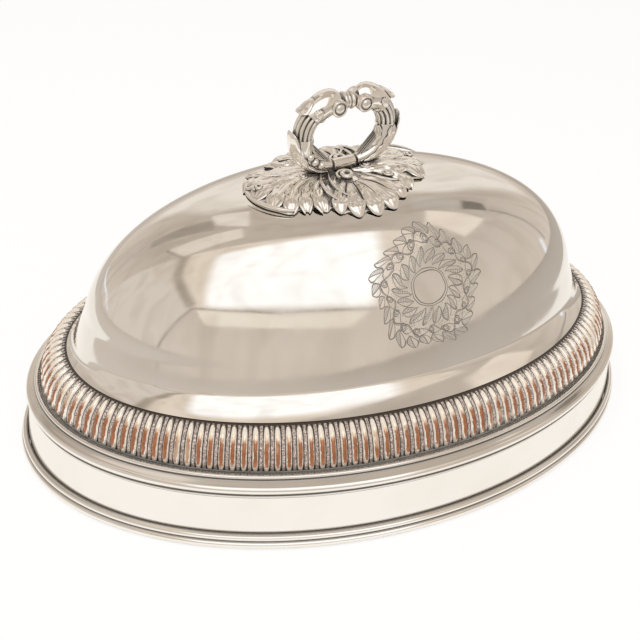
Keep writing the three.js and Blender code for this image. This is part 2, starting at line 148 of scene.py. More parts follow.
# %% [markdown]
# ## The oval
#
# Every moulding runs round the same oval. Two neighbouring rings keep the same distance on the long and the
# short side, so one number, the half length, says which ring is meant. The sections below are lists of half
# length and height in millimetres, as a turner would cut them.

# %% The oval and its sections
HALF_DIFFERENCE = 94
OVAL_SIDES = 288


def arc(centre_a, centre_z, radius, start, end, steps):
    turns = [math.radians(start + (end - start) * i / steps) for i in range(steps + 1)]
    return [(centre_a + radius * math.cos(t), centre_z + radius * math.sin(t)) for t in turns]


def oval_moulding(name, section):
    rings = [(a, a - HALF_DIFFERENCE, z, 0) for a, z in section]
    return closed_shell(name, rings, OVAL_SIDES)


print("longer than wide by, in mm:", 2 * HALF_DIFFERENCE)

# %% [markdown]
# ## Foot, skirt and shoulder
#
# The foot is a strip rolled into two reeds and left hollow. The skirt is plain sheet that leans in slightly.
# The shoulder is a half-round with a small bead below it. Each is one section swept round the oval, with
# enough steps in every arc that a mirror finish shows no facets.

# %% Foot, skirt and shoulder
FOOT_HEIGHT = 13.3
SKIRT_HEIGHT = 46
foot = oval_moulding("foot_moulding_polished", [
    (273.7, 0), (278.2, 0),
    *arc(277, 4.4, 3, -50, 72, 10),
    (276.3, 7.75),
    *arc(275.6, 10.4, 2.6, -52, 90, 10),
    (273.7, FOOT_HEIGHT), (273.7, 12.2), (275.4, 10.6), (277.2, 4.6), (277, 1.1), (273.7, 1.1),
])
skirt = oval_moulding("skirt_polished", [
    (272.2, 0.9), (273.2, 0.9), (273.2, FOOT_HEIGHT), (273.05, 14.2),
    (271.9, 21.5), (270.6, 29.6), (269.3, 37.8), (268.15, 45.1),
    (268, SKIRT_HEIGHT), (266.9, SKIRT_HEIGHT), (269.5, 29.6), (272.2, FOOT_HEIGHT),
])
shoulder = oval_moulding("shoulder_moulding_polished", [
    (265, 46.3),
    *arc(268, 47.15, 0.9, -65, 75, 8),
    (267.2, 48.3), (267.3, 49.2),
    *arc(266.3, 53, 3.8, -62, 76, 14),
    (265.9, 57.1), (264.4, 58.1), (262.4, 58.5), (258, 58.5), (262.4, 52),
])
place(foot, "polished_silver", "foot_moulding")
place(skirt, "polished_silver", "skirt")
place(shoulder, "polished_silver", "shoulder_moulding")

# %% [markdown]
# ## Milled bead
#
# Between the flutes and the shoulder runs a bright bead, and behind it a fine milled line, cut with a wheel.
# The line is hundreds of tiny grains. One grain is modelled, an Array repeats it along a straight line as
# long as the oval, and a Curve modifier bends that line round.

# %% Bead and milled line
def oval_path(half_length, height=0):
    """A closed curve round the oval, which runs clockwise, so that +Y is outward for what bends along it."""
    clear_selection()
    bpy.ops.curve.primitive_bezier_circle_add(radius=1)
    path = bpy.context.object
    path.scale = (half_length * MM, (half_length - HALF_DIFFERENCE) * MM, 1)
    path.location.z = height * MM
    bpy.ops.object.transform_apply(location=True, scale=True)
    path.data.use_radius = False
    path.data.resolution_u = 96
    return path


def repeat_round(piece, path, count, step):
    repeat = piece.modifiers.new("repeat", "ARRAY")
    repeat.fit_type = "FIXED_COUNT"
    repeat.count = count
    repeat.use_relative_offset = False
    repeat.use_constant_offset = True
    repeat.constant_offset_displace = (step, 0, 0)
    bend = piece.modifiers.new("bend", "CURVE")
    bend.object = path
    bend.deform_axis = "POS_X"
    apply_modifiers(piece)
    bpy.data.objects.remove(path)


MILLED_GRAINS = 560
bead = oval_moulding("milled_bead_polished", [
    (253.4, 58.85), (262.1, 58.85),
    *arc(260.7, 60.3, 1.7, -32, 140, 12),
    (258.9, 60.9), (258.2, 60.1), (257.1, 60), (256.2, 60), (253.4, 60),
])
line_path = oval_path(258.2, 60.55)
grain_step = line_path.data.splines[0].calc_length() / MILLED_GRAINS
clear_selection()
bpy.ops.mesh.primitive_uv_sphere_add(segments=6, ring_count=4, radius=0.5 * grain_step)
milled_line = new_piece("milled_line")
milled_line.scale = (0.8, 0.62, 0.62)
milled_line.location.x = grain_step / 2
bpy.ops.object.transform_apply(location=True, scale=True)
repeat_round(milled_line, line_path, MILLED_GRAINS, grain_step)
finish_mesh(milled_line, 60)
place(bead, "polished_silver", "milled_bead")
place(milled_line, "polished_silver", "milled_bead")

# %% [markdown]
# ## Fluted band
#
# The band is sheet pressed in dies: a round lobe, a narrow matted reed beside it, and sharp creases between
# them, 154 times round the oval. One tile is modelled from a grid. Its columns are lifted to the lobe and
# the reed, its end rows are pressed down so that each lobe ends in a round tip, and its rows are then turned
# and moved one by one on to the quarter-round of the band. Array and Curve carry it round.

# %% One flute
FLUTES = 154
BAND_BOTTOM_Z = 60.75
BAND_TOP_OUTER = 233.4
BAND_WIDTH = 22.6
BAND_HEIGHT = 28.1
BAND_PATH = 246
LOBE_HEIGHT = 2.3
# Share of the pitch, and height as a share of the lobe's height: the lobe, a crease, the reed, a crease
FLUTE_COLUMNS = [
    (0, 0), (0.01, 0), (0.05, 0.5), (0.12, 0.88), (0.28, 1), (0.44, 0.88), (0.51, 0.5), (0.55, 0),
    (0.62, 0), (0.66, 0.3), (0.72, 0.42), (0.82, 0.42), (0.88, 0.3), (0.92, 0), (1, 0),
]
LOBE_COLUMNS = range(1, 8)
LOBE_MIDDLE = 0.28
# Turn round the band's section in degrees, and how much of the lobe's height and width is left there
FLUTE_ROWS = [
    (0, 0, 0.35), (1.5, 0.45, 0.55), (4, 0.75, 0.78), (8, 0.93, 0.92),
    (15, 1, 1), (28, 1, 1), (42, 1, 1), (56, 1, 1), (66, 0.92, 0.95),
    (73, 0.76, 0.85), (77, 0.55, 0.7), (80, 0.25, 0.5), (83, 0, 0.3), (90, 0, 0.3),
]


def flute_tile(pitch):
    columns = len(FLUTE_COLUMNS)
    rows = len(FLUTE_ROWS)
    clear_selection()
    bpy.ops.mesh.primitive_grid_add(x_subdivisions=columns - 1, y_subdivisions=rows - 1, size=1)
    tile = new_piece("fluted_band_pressed")
    for column, (share, height) in enumerate(FLUTE_COLUMNS):
        pick_vertices(tile, range(column, rows * columns, columns))
        old_x = column / (columns - 1) - 0.5
        bpy.ops.transform.translate(value=(share * pitch - old_x, 0, height * LOBE_HEIGHT * MM))
        bpy.ops.object.mode_set(mode="OBJECT")
    for row, (turn, share, width) in enumerate(FLUTE_ROWS):
        first = row * columns
        pick_vertices(tile, [first + column for column in LOBE_COLUMNS])
        bpy.ops.transform.resize(value=(width, 1, 1), center_override=(LOBE_MIDDLE * pitch, 0, 0))
        bpy.ops.object.mode_set(mode="OBJECT")
        pick_vertices(tile, range(first, first + columns))
        old_y = row / (rows - 1) - 0.5
        flat = (0, old_y, 0)
        bpy.ops.transform.resize(value=(1, 1, max(share, 0.001)), center_override=flat)
        angle = math.radians(turn)
        bpy.ops.transform.rotate(value=math.pi / 2 - angle, orient_axis="X", center_override=flat)
        out = BAND_TOP_OUTER + BAND_WIDTH * math.cos(angle) - BAND_PATH - LOBE_HEIGHT / 2
        up = BAND_BOTTOM_Z + BAND_HEIGHT * math.sin(angle)
        bpy.ops.transform.translate(value=(0, out * MM - old_y, up * MM))
        bpy.ops.object.mode_set(mode="OBJECT")
    return tile


# %% The band
band_path = oval_path(BAND_PATH)
flute_pitch = band_path.data.splines[0].calc_length() / FLUTES
band = flute_tile(flute_pitch)
top_row = range((len(FLUTE_ROWS) - 1) * len(FLUTE_COLUMNS), len(FLUTE_ROWS) * len(FLUTE_COLUMNS))
SEAT_WIDTH = 5
pick_vertices(band, top_row)
bpy.ops.mesh.extrude_region_move(TRANSFORM_OT_translate={"value": (0, -SEAT_WIDTH * MM, 0)})
bpy.ops.object.mode_set(mode="OBJECT")
repeat_round(band, band_path, FLUTES, flute_pitch)
finish_mesh(band, 75)
wall = band.modifiers.new("wall", "SOLIDIFY")
wall.thickness = 0.8 * MM
wall.offset = -1
apply_modifiers(band)
place(band, "worn_silver", "fluted_band")
print("flute pitch in mm:", round(flute_pitch / MM, 2))

# %% [markdown]
# ## Dome
#
# The dome is one sheet, raised with a hammer and planished until only reflections show its shape, so its
# rows are close and follow one formula from rim to crown. The rim flares out over the band: in a long soft
# sweep with a small lip at the two ends, and more shortly along the sides. Inside it has its own surface, a
# sheet's thickness away.

# %% Shape of the dome
DOME_RIM_Z = 89.3
DOME_BASE_Z = 86.6
DOME_APEX_Z = 223
DOME_HALF_LENGTH = 220.1
# How far the flare reaches out at the ends, over what height, and how late it sets in
DOME_FLARE = 9.2
DOME_FLARE_HEIGHT = 34
DOME_FLARE_POWER = 1.3
DOME_LIP = 4
DOME_LIP_HEIGHT = 8
# Along the sides the wall stays steep further down, and the whole flare happens near the rim
SIDE_FLARE = 13.2
SIDE_FLARE_HEIGHT = 13
SIDE_FLARE_POWER = 1.35
LONG_CROWN_POWER = 2.33
LONG_WALL_POWER = 2.57
SHORT_CROWN_POWER = 0.98
SHORT_WALL_POWER = 3.11
DOME_SHEET = 1.2
HANDLE_X = -4.7
STUD_HOLE = 2.7


def dome_half_sizes(z, inset=0):
    """Half length and half width of the dome at a height."""
    apex = DOME_APEX_Z - inset
    rise = min((z - DOME_BASE_Z) / (apex - DOME_BASE_Z), 1)
    low = max((DOME_RIM_Z + DOME_FLARE_HEIGHT - z) / DOME_FLARE_HEIGHT, 0)
    lip = max((DOME_RIM_Z + DOME_LIP_HEIGHT - z) / DOME_LIP_HEIGHT, 0)
    flare = DOME_FLARE * low ** DOME_FLARE_POWER + DOME_LIP * lip ** 2
    side_low = max((DOME_RIM_Z + SIDE_FLARE_HEIGHT - z) / SIDE_FLARE_HEIGHT, 0)
    side_flare = SIDE_FLARE * side_low ** SIDE_FLARE_POWER
    half_width = DOME_HALF_LENGTH - HALF_DIFFERENCE
    a = (DOME_HALF_LENGTH - inset) * (1 - rise ** LONG_CROWN_POWER) ** (1 / LONG_WALL_POWER)
    b = (half_width - inset) * (1 - rise ** SHORT_CROWN_POWER) ** (1 / SHORT_WALL_POWER)
    return a + flare, b + side_flare


def dome_ring(z, inset):
    return (*dome_half_sizes(z, inset), z, 0)


def dome_heights(flare_rows, crown_rows, inset):
    """Heights from the rim up: close over the flare, then at even steps of turn up to the crown."""
    top_of_flare = DOME_RIM_Z + DOME_FLARE_HEIGHT
    heights = [DOME_RIM_Z + DOME_FLARE_HEIGHT * (i / flare_rows) ** 1.5 for i in range(flare_rows)]
    apex = DOME_APEX_Z - inset
    first_rise = (top_of_flare - DOME_BASE_Z) / (apex - DOME_BASE_Z)
    start = math.acos((1 - first_rise ** LONG_CROWN_POWER) ** (1 / LONG_WALL_POWER))
    for i in range(crown_rows):
        turn = start + (math.pi / 2 - 0.03 - start) * i / (crown_rows - 1)
        rise = (1 - math.cos(turn) ** LONG_WALL_POWER) ** (1 / LONG_CROWN_POWER)
        heights.append(DOME_BASE_Z + (apex - DOME_BASE_Z) * rise)
    return heights


def crown_height(x, y):
    """Height in mm of the dome's outside over a point of the plan."""
    low = DOME_RIM_Z + DOME_FLARE_HEIGHT
    high = DOME_APEX_Z
    for _ in range(24):
        z = (low + high) / 2
        a, b = dome_half_sizes(z)
        if (x / a) ** 2 + (y / b) ** 2 < 1:
            low = z
        else:
            high = z
    return low


print("half length and half width at the rim in mm:", dome_half_sizes(DOME_RIM_Z))

# %% The dome's shell
outside = [dome_ring(z, 0) for z in dome_heights(28, 60, 0)]
inside = [dome_ring(z, DOME_SHEET) for z in reversed(dome_heights(14, 36, DOME_SHEET))]
dome = closed_shell("dome_planished", [
    *outside,
    (STUD_HOLE, STUD_HOLE, DOME_APEX_Z, HANDLE_X),
    (STUD_HOLE, STUD_HOLE, DOME_APEX_Z - DOME_SHEET, HANDLE_X),
    *inside,
], OVAL_SIDES, 60)
place(dome, "polished_silver", "dome")

# %% [markdown]
# ## One carved leaf
#
# The mount and the handle are cast from carved patterns, and their leaves are all of one family: a raised
# midrib, ribs that fan out from the stalk, and lobes along the edge or a round tip. A leaf starts as a grid.
# Its columns are lifted to ribs and hollows, and its rows are then narrowed to the outline, so the ribs draw
# together at the stalk by themselves. A leaf lies flat along X until it is bent into its place.

# %% Leaves
# Height of the ribs and hollows from the edge of a leaf to its midrib, as a share of the relief
LEAF_RIBS = [0.15, 0.85, 0.05, 1, 0.4]
# How much the middle of a leaf stands above its sides, as a share of the relief
ROUND_BACK = 0.25
TIP_DROOP = 1.6
# Where along a leaf its knob sits and how far it spreads, as shares of the length
KNOB_PLACE = 0.86
KNOB_SPREAD = 0.09
# Width of a lobe's four rows, and outlines of whole leaves as (share of the length, share of the width)
LOBE_ROWS = [0.64, 0.9, 1, 0.9]
POINTED = [(0, 0.3), (0.25, 0.66), (0.5, 0.92), (0.75, 1), (0.9, 0.8), (1, 0.34)]
BLUNT = [(0, 0.3), (0.25, 0.62), (0.5, 0.88), (0.75, 1), (0.9, 0.98), (1, 0.72)]
ROUNDED = [(0, 0.2), (0.3, 0.42), (0.6, 0.74), (0.82, 1), (0.93, 0.93), (1, 0.62)]


def between(points, share):
    """Value at a share along a list of (share, value) points."""
    for (low, first), (high, second) in zip(points, points[1:]):
        if share <= high:
            return first + (second - first) * (share - low) / (high - low)
    return points[-1][1]


def carved_leaf(name, length, half_width, relief, outline, lobes, tip=0.0, thickness=0.9, knob=0.0):
    """A leaf in mm from the origin along +X. The tip is how far its middle reaches past its sides.

    The knob is how high in mm the leaf swells just before its end.
    """
    columns = 2 * len(LEAF_RIBS) - 1
    rows = 4 * max(lobes, 3) + 1
    clear_selection()
    bpy.ops.mesh.primitive_grid_add(x_subdivisions=columns - 1, y_subdivisions=rows - 1, size=1)
    leaf = new_piece(name)
    leaf.rotation_euler.z = -math.pi / 2
    bpy.ops.object.transform_apply(rotation=True)
    for column in range(columns):
        side = column / (columns - 1) * 2 - 1
        height = LEAF_RIBS[min(column, columns - 1 - column)]
        forward = tip * (1 - side * side) if tip > 0 else -tip * side * side
        lift = (height + ROUND_BACK * (1 - side * side)) * relief
        pick_vertices(leaf, range(column, rows * columns, columns))
        bpy.ops.transform.translate(value=(forward / length, 0, lift * MM))
        bpy.ops.object.mode_set(mode="OBJECT")
    for row in range(rows):
        share = row / (rows - 1)
        lobe = LOBE_ROWS[row % 4] if lobes else 1
        width = between(outline, share) * lobe * 2 * half_width * MM
        swell = (0.35 + 0.65 * math.sin(math.pi * min(share * 0.8 + 0.1, 1))) * (1 - share ** 6 * 0.7)
        pick_vertices(leaf, range(row * columns, (row + 1) * columns))
        bpy.ops.transform.resize(value=(1, width, swell * (0.75 + 0.25 * lobe)), center_override=(0, 0, 0))
        rise = knob * math.exp(-((share - KNOB_PLACE) / KNOB_SPREAD) ** 2) - TIP_DROOP * share ** 10
        bpy.ops.transform.translate(value=(0, 0, rise * MM))
        bpy.ops.object.mode_set(mode="OBJECT")
    pick_vertices(leaf, range(rows * columns))
    bpy.ops.transform.translate(value=(0.5, 0, 0))
    bpy.ops.transform.resize(value=(length * MM, 1, 1), center_override=(0, 0, 0))
    bpy.ops.object.mode_set(mode="OBJECT")
    wall = leaf.modifiers.new("wall", "SOLIDIFY")
    wall.thickness = thickness * MM
    wall.offset = -1
    smooth = leaf.modifiers.new("smooth", "SUBSURF")
    smooth.levels = 1
    smooth.render_levels = 1
    apply_modifiers(leaf)
    return leaf


def bend_along(piece, path):
    bend = piece.modifiers.new("bend", "CURVE")
    bend.object = path
    bend.deform_axis = "POS_X"
    apply_modifiers(piece)


# %% [markdown]
# ## Leafy mount
#
# The casting on the crown is a thin plate with a leafy outline. Long acanthus leaves run to both ends, a
# serrated spray fills the front left, a fan of round shell lobes the front right, and small scrolls close the
# gaps. Its front repeats behind, turned by half a turn. Places are given as shares of the reach to each side.
# Every leaf is bent along its own stroke in the plan, and everything is then laid on the curve of the dome.

# %% The mount's plan
MOUNT_LEFT_REACH = 84
MOUNT_RIGHT_REACH = 72
MOUNT_FRONT_REACH = 55
MOUNT_CLEARANCE = 0.7
PLATE_SHARE = 0.97
MOUNT_OUTLINE = [
    (-0.99, -0.2), (-0.92, -0.47), (-0.78, -0.67), (-0.66, -0.77), (-0.58, -0.73), (-0.51, -0.8),
    (-0.44, -0.75), (-0.36, -0.86), (-0.28, -0.82), (-0.22, -0.93), (-0.14, -0.93), (-0.06, -1.01),
    (0.05, -0.95), (0.15, -1.02), (0.26, -0.93), (0.37, -0.95), (0.45, -0.8), (0.54, -0.74),
    (0.55, -0.6), (0.65, -0.62), (0.7, -0.45), (0.87, -0.4), (0.93, -0.24), (0.97, -0.06),
]
# Size of the plate's rings as a share of its outline, and their height in mm, over the top and back below
PLATE_RINGS = [
    (0.98, 0.4), (0.98, 0.9), (0.97, 1.3), (0.9, 1.5), (0.75, 1.8), (0.55, 2.2), (0.35, 2.5), (0.1, 2.6),
    (0.1, 0), (0.35, 0), (0.55, 0), (0.75, 0),
]
# Each stroke runs from the stalk through a middle point to the tip, then half width in mm and lobes
POINTED_STROKES = [
    ([(-0.08, 0.1), (-0.5, 0.14), (-0.78, 0.06), (-0.95, -0.1)], 12, 5),
    ([(-0.18, 0), (-0.5, -0.08), (-0.78, -0.17), (-0.92, -0.3)], 10, 4),
    ([(-0.26, -0.06), (-0.52, -0.2), (-0.7, -0.38), (-0.8, -0.55)], 9.5, 4),
    ([(-0.28, -0.12), (-0.5, -0.3), (-0.61, -0.52), (-0.66, -0.72)], 8, 4),
    ([(-0.26, -0.17), (-0.42, -0.35), (-0.5, -0.56), (-0.52, -0.77)], 7, 3),
    ([(-0.22, -0.22), (-0.34, -0.4), (-0.39, -0.6), (-0.37, -0.82)], 7, 3),
    ([(0.26, -0.18), (0.42, -0.26), (0.56, -0.4), (0.62, -0.6)], 8, 3),
    ([(0.18, -0.04), (0.45, -0.04), (0.7, -0.12), (0.85, -0.36)], 10.5, 4),
    ([(0.14, 0.04), (0.4, 0.12), (0.7, 0.1), (0.94, -0.06)], 11, 5),
]
ROUNDED_STROKES = [
    ([(-0.05, -0.34), (-0.17, -0.6), (-0.23, -0.93)], 7.5),
    ([(-0.02, -0.36), (-0.07, -0.7), (-0.06, -1.02)], 8),
    ([(0.02, -0.36), (0.09, -0.7), (0.16, -1.03)], 8.5),
    ([(0.06, -0.34), (0.23, -0.64), (0.37, -0.96)], 8.5),
    ([(0.1, -0.3), (0.34, -0.48), (0.53, -0.79)], 8),
]
# Thin raised stems: points from one end to the other and the radius in mm at the middle
STEM_STROKES = [
    ([(-0.99, -0.26), (-0.92, -0.55), (-0.77, -0.71), (-0.64, -0.77)], 1.3),
    ([(-0.2, -0.02), (-0.34, -0.34), (-0.31, -0.6), (-0.22, -0.76)], 1.7),
    ([(-0.16, -0.1), (-0.24, -0.36), (-0.2, -0.58), (-0.12, -0.7)], 1.3),
    ([(0.14, -0.2), (0.22, -0.36), (0.36, -0.5), (0.5, -0.52)], 1.4),
    ([(-0.3, 0.12), (-0.52, -0.05), (-0.7, -0.06), (-0.86, -0.2)], 1.5),
    ([(0.3, 0.12), (0.52, 0.02), (0.7, -0.04), (0.9, -0.2)], 1.5),
]
# Middle, radius in mm, direction and radius of the wire of the scrolls
SCROLLS = [
    (-0.03, -0.25, 7.5, 1, 1.8), (0.27, -0.06, 5.5, -1, 1.4), (0.44, -0.34, 4.6, -1, 1.3),
    (-0.86, -0.16, 4.2, 1, 1.2), (-0.42, -0.14, 4, -1, 1.1),
]
SCROLL_TURNS = 1.6


def mount_point(along, across, half):
    """A point of the plan in mm, for the front half (1) or the back half (-1), from the handle's middle."""
    along *= half
    reach = MOUNT_LEFT_REACH if along < 0 else MOUNT_RIGHT_REACH
    return Vector((along * reach, across * half * MOUNT_FRONT_REACH, 0))


def lay_on_crown(piece, lift):
    """Moves a flat piece to the handle's middle and sets each vertex that much above the dome."""
    for vertex in piece.data.vertices:
        vertex.co.x += HANDLE_X * MM
        x = vertex.co.x / MM
        y = vertex.co.y / MM
        vertex.co.z += (crown_height(x, y) + MOUNT_CLEARANCE + lift) * MM


def stroke_path(points):
    """A smooth flat curve through points in mm."""
    line = bpy.data.curves.new("stroke", "CURVE")
    spline = line.splines.new("BEZIER")
    spline.bezier_points.add(len(points) - 1)
    for bezier, point in zip(spline.bezier_points, points):
        bezier.co = point * MM
        bezier.handle_left_type = "AUTO"
        bezier.handle_right_type = "AUTO"
    line.resolution_u = 24
    path = bpy.data.objects.new("stroke", line)
    bpy.context.scene.collection.objects.link(path)
    return path


def stroke_leaf(name, points, half_width, relief, outline, lobes, tip, knob):
    path = stroke_path(points)
    length = path.data.splines[0].calc_length() / MM
    leaf = carved_leaf(name, length - max(tip, 0), half_width, relief, outline, lobes, tip, 0.9, knob)
    bend_along(leaf, path)
    bpy.data.objects.remove(path)
    return leaf


print("leaves on each half of the mount:", len(POINTED_STROKES) + len(ROUNDED_STROKES))

# %% Plate under the leaves
def mount_plate():
    points = [mount_point(*point, half) for half in (1, -1) for point in MOUNT_OUTLINE]
    outline = stroke_path(points)
    outline.data.splines[0].use_cyclic_u = True
    outline.data.resolution_u = 6
    clear_selection()
    outline.select_set(True)
    bpy.context.view_layer.objects.active = outline
    bpy.ops.object.convert(target="MESH")
    plate = new_piece("mount_plate")
    sides = len(plate.data.vertices)
    bpy.ops.object.mode_set(mode="EDIT")
    bpy.ops.mesh.select_all(action="SELECT")
    bpy.ops.transform.resize(value=(PLATE_SHARE, PLATE_SHARE, 1), center_override=(0, 0, 0))
    before = PLATE_SHARE
    height = 0
    for size, z in PLATE_RINGS:
        bpy.ops.mesh.extrude_region_move(TRANSFORM_OT_translate={"value": (0, 0, (z - height) * MM)})
        bpy.ops.transform.resize(value=(size / before, size / before, 1), center_override=(0, 0, 0))
        before = size
        height = z
    bpy.ops.object.mode_set(mode="OBJECT")
    count = len(plate.data.vertices)
    pick_vertices(plate, [*range(sides), *range(count - sides, count)])
    bpy.ops.mesh.bridge_edge_loops()
    bpy.ops.object.mode_set(mode="OBJECT")
    lay_on_crown(plate, 0)
    return plate


# %% Stems and scrolls
def tapered_wire(name, points, radius):
    """A round wire in mm through points (x, y, z, share of the radius), turned into a mesh."""
    line = bpy.data.curves.new(name, "CURVE")
    line.dimensions = "3D"
    line.bevel_depth = radius * MM
    line.bevel_resolution = 2
    line.use_fill_caps = True
    spline = line.splines.new("POLY")
    spline.points.add(len(points) - 1)
    for point, (x, y, z, share) in zip(spline.points, points):
        point.co = (x * MM, y * MM, z * MM, 1)
        point.radius = share
    made = bpy.data.objects.new(name, line)
    bpy.context.scene.collection.objects.link(made)
    clear_selection()
    made.select_set(True)
    bpy.context.view_layer.objects.active = made
    bpy.ops.object.convert(target="MESH")
    return new_piece(name)


def scroll(name, radius, turns, thickness, direction):
    """A flat spiral that thins towards its open end, with a round eye."""
    steps = int(20 * turns)
    points = []
    for i in range(steps + 1):
        share = i / steps
        turn = direction * share * turns * 2 * math.pi
        reach = radius * (0.1 + 0.9 * share)
        points.append((reach * math.cos(turn), reach * math.sin(turn), 0, 1.5 - 0.9 * share))
    return tapered_wire(name, points, thickness)


def stem(name, corners, thickness):
    """A stem that swells in its middle, through four corner points in mm."""
    points = []
    steps = 24
    for i in range(steps + 1):
        share = i / steps
        weights = ((1 - share) ** 3, 3 * share * (1 - share) ** 2, 3 * share ** 2 * (1 - share), share ** 3)
        spot = sum((corner * weight for corner, weight in zip(corners, weights)), Vector((0, 0, 0)))
        points.append((spot.x, spot.y, 0, 0.35 + 0.65 * math.sin(math.pi * share)))
    return tapered_wire(name, points, thickness)


# %% The whole mount
# Height of the carving on leaves and lobes, and how far above the dome each kind of piece lies, in mm
LEAF_RELIEF = 4.2
LEAF_LIFT = 2
SHELL_RELIEF = 3.8
SHELL_LIFT = 1.8
STEM_LIFT = 4.6
SCROLL_LIFT = 5.2
mount_pieces = [mount_plate()]
for half in (1, -1):
    for corners, half_width, lobes in POINTED_STROKES:
        points = [mount_point(*corner, half) for corner in corners]
        leaf = stroke_leaf("mount_leaf", points, half_width, LEAF_RELIEF, POINTED, lobes, -3, 1.6)
        lay_on_crown(leaf, LEAF_LIFT)
        mount_pieces.append(leaf)
    for corners, half_width in ROUNDED_STROKES:
        points = [mount_point(*corner, half) for corner in corners]
        lobe = stroke_leaf("shell_lobe", points, half_width, SHELL_RELIEF, ROUNDED, 0, 3.5, 3)
        lay_on_crown(lobe, SHELL_LIFT)
        mount_pieces.append(lobe)
    for corners, thickness in STEM_STROKES:
        rib = stem("mount_stem", [mount_point(*corner, half) for corner in corners], thickness)
        lay_on_crown(rib, STEM_LIFT)
        mount_pieces.append(rib)
    for along, across, radius, direction, thickness in SCROLLS:
        curl = scroll("mount_scroll", radius, SCROLL_TURNS, thickness, direction)
        curl.data.transform(Matrix.Translation(mount_point(along, across, half) * MM))
        lay_on_crown(curl, SCROLL_LIFT)
        mount_pieces.append(curl)
mount = finish_mesh(join_pieces("handle_mount_leaves", mount_pieces), 50)
place(mount, "cast_silver", "handle_mount")

# %% [markdown]
# ## Ring handle: the line that it follows
#
# The ring is a rounded square lying in an upright plane, a little askew on the cover. One limb is modelled
# straight along X from the sleeve at the bottom to the collar at the top, which is how its pattern is easiest
# to carve. A Curve modifier bends it, and a copy turned by half a turn makes the other limb.

# %% The limb's line
HANDLE_YAW = math.radians(10.5)
HANDLE_CENTRE_Z = 258
HANDLE_HALF_WIDTH = 37.5
HANDLE_HALF_HEIGHT = 26
HANDLE_SQUARENESS = 2.5
STEM_RADIUS = 8
LINE_STEPS = 180


def ring_point(turn_degrees):
    """A point of the ring's line in mm, flat, with turn 0 at the right and 90 at the top."""
    turn = math.radians(turn_degrees)
    power = 2 / HANDLE_SQUARENESS
    x = HANDLE_HALF_WIDTH * math.copysign(abs(math.cos(turn)) ** power, math.cos(turn))
    y = HANDLE_HALF_HEIGHT * math.copysign(abs(math.sin(turn)) ** power, math.sin(turn))
    return Vector((x, y, 0))


def limb_distance(turn_degrees):
    """Distance in mm along the limb from its bottom to a turn."""
    steps = 400
    turns = [-90 + (turn_degrees + 90) * i / steps for i in range(steps + 1)]
    points = [ring_point(turn) for turn in turns]
    return sum((second - first).length for first, second in zip(points, points[1:]))


def limb_path():
    line = bpy.data.curves.new("limb", "CURVE")
    spline = line.splines.new("POLY")
    spline.points.add(LINE_STEPS)
    for i, point in enumerate(spline.points):
        point.co = (*(ring_point(-90 + 180 * i / LINE_STEPS) * MM), 1)
    line.use_radius = False
    path = bpy.data.objects.new("limb", line)
    bpy.context.scene.collection.objects.link(path)
    return path


def stand_up(piece):
    """From the flat ring to its upright plane over the crown."""
    piece.data.transform(Matrix.Rotation(math.pi / 2, 4, "X"))
    piece.data.transform(Matrix.Translation((0, 0, HANDLE_CENTRE_Z * MM)))
    return piece


def set_on_cover(piece, half_turn=False):
    """Turns an upright piece to the handle's own angle, over the stud."""
    angle = HANDLE_YAW + (math.pi if half_turn else 0)
    piece.data.transform(Matrix.Rotation(angle, 4, "Z"))
    piece.data.transform(Matrix.Translation((HANDLE_X * MM, 0, 0)))
    return piece


def both_limbs(piece, slot, node_name, name):
    """Bends the straight piece to the right limb, and makes the left one from a copy."""
    path = limb_path()
    bend_along(piece, path)
    bpy.data.objects.remove(path)
    stand_up(piece)
    finish_mesh(piece, 45)
    other = copy_piece(piece, name + "_left")
    piece.name = name + "_right"
    for side, limb, half_turn in (("right", piece, False), ("left", other, True)):
        set_on_cover(limb, half_turn)
        place(limb, slot, node_name + "_" + side)
    return [piece, other]


print("length of a limb in mm:", round(limb_distance(90), 1))

# %% [markdown]
# ## Reeded arms
#
# Each arm is a bundle of round reeds. A circle has its valley points drawn in, and the star is then extruded
# along X, so the reeds run the whole length. Below, a thinner core goes on through the leaf sheath.

# %% Tubes along X
def closed_tube(name, rows, sides, shape=None):
    """Each row is a place along X, a shift outward (towards -Y) and the radii across and outward, in mm."""
    clear_selection()
    bpy.ops.mesh.primitive_circle_add(
        vertices=sides, radius=1, fill_type="NOTHING", rotation=(0, math.pi / 2, 0))
    tube = new_piece(name)
    bpy.ops.object.transform_apply(rotation=True)
    if shape:
        shape(tube)
    pick_vertices(tube, range(sides))
    x, shift, wide, high = rows[0]
    bpy.ops.transform.resize(value=(1, high * MM, wide * MM), center_override=(0, 0, 0))
    bpy.ops.transform.translate(value=(x * MM, -shift * MM, 0))
    for (x, shift, wide, high), (next_x, next_shift, next_wide, next_high) in zip(rows, rows[1:]):
        centre = (next_x * MM, -shift * MM, 0)
        bpy.ops.mesh.extrude_region_move(TRANSFORM_OT_translate={"value": ((next_x - x) * MM, 0, 0)})
        bpy.ops.transform.resize(value=(1, next_high / high, next_wide / wide), center_override=centre)
        bpy.ops.transform.translate(value=(0, (shift - next_shift) * MM, 0))
    bpy.ops.mesh.edge_face_add()
    bpy.ops.object.mode_set(mode="OBJECT")
    pick_vertices(tube, range(sides))
    bpy.ops.mesh.edge_face_add()
    bpy.ops.object.mode_set(mode="OBJECT")
    return tube


REEDS = 12
REED_SIDES = 8


def reed_shape(tube):
    for offset, size in ((0, 0.7), (1, 0.86), (REED_SIDES - 1, 0.86), (2, 0.96), (REED_SIDES - 2, 0.96)):
        pick_vertices(tube, range(offset, REEDS * REED_SIDES, REED_SIDES))
        bpy.ops.transform.resize(value=(1, size, size), center_override=(0, 0, 0))
        bpy.ops.object.mode_set(mode="OBJECT")


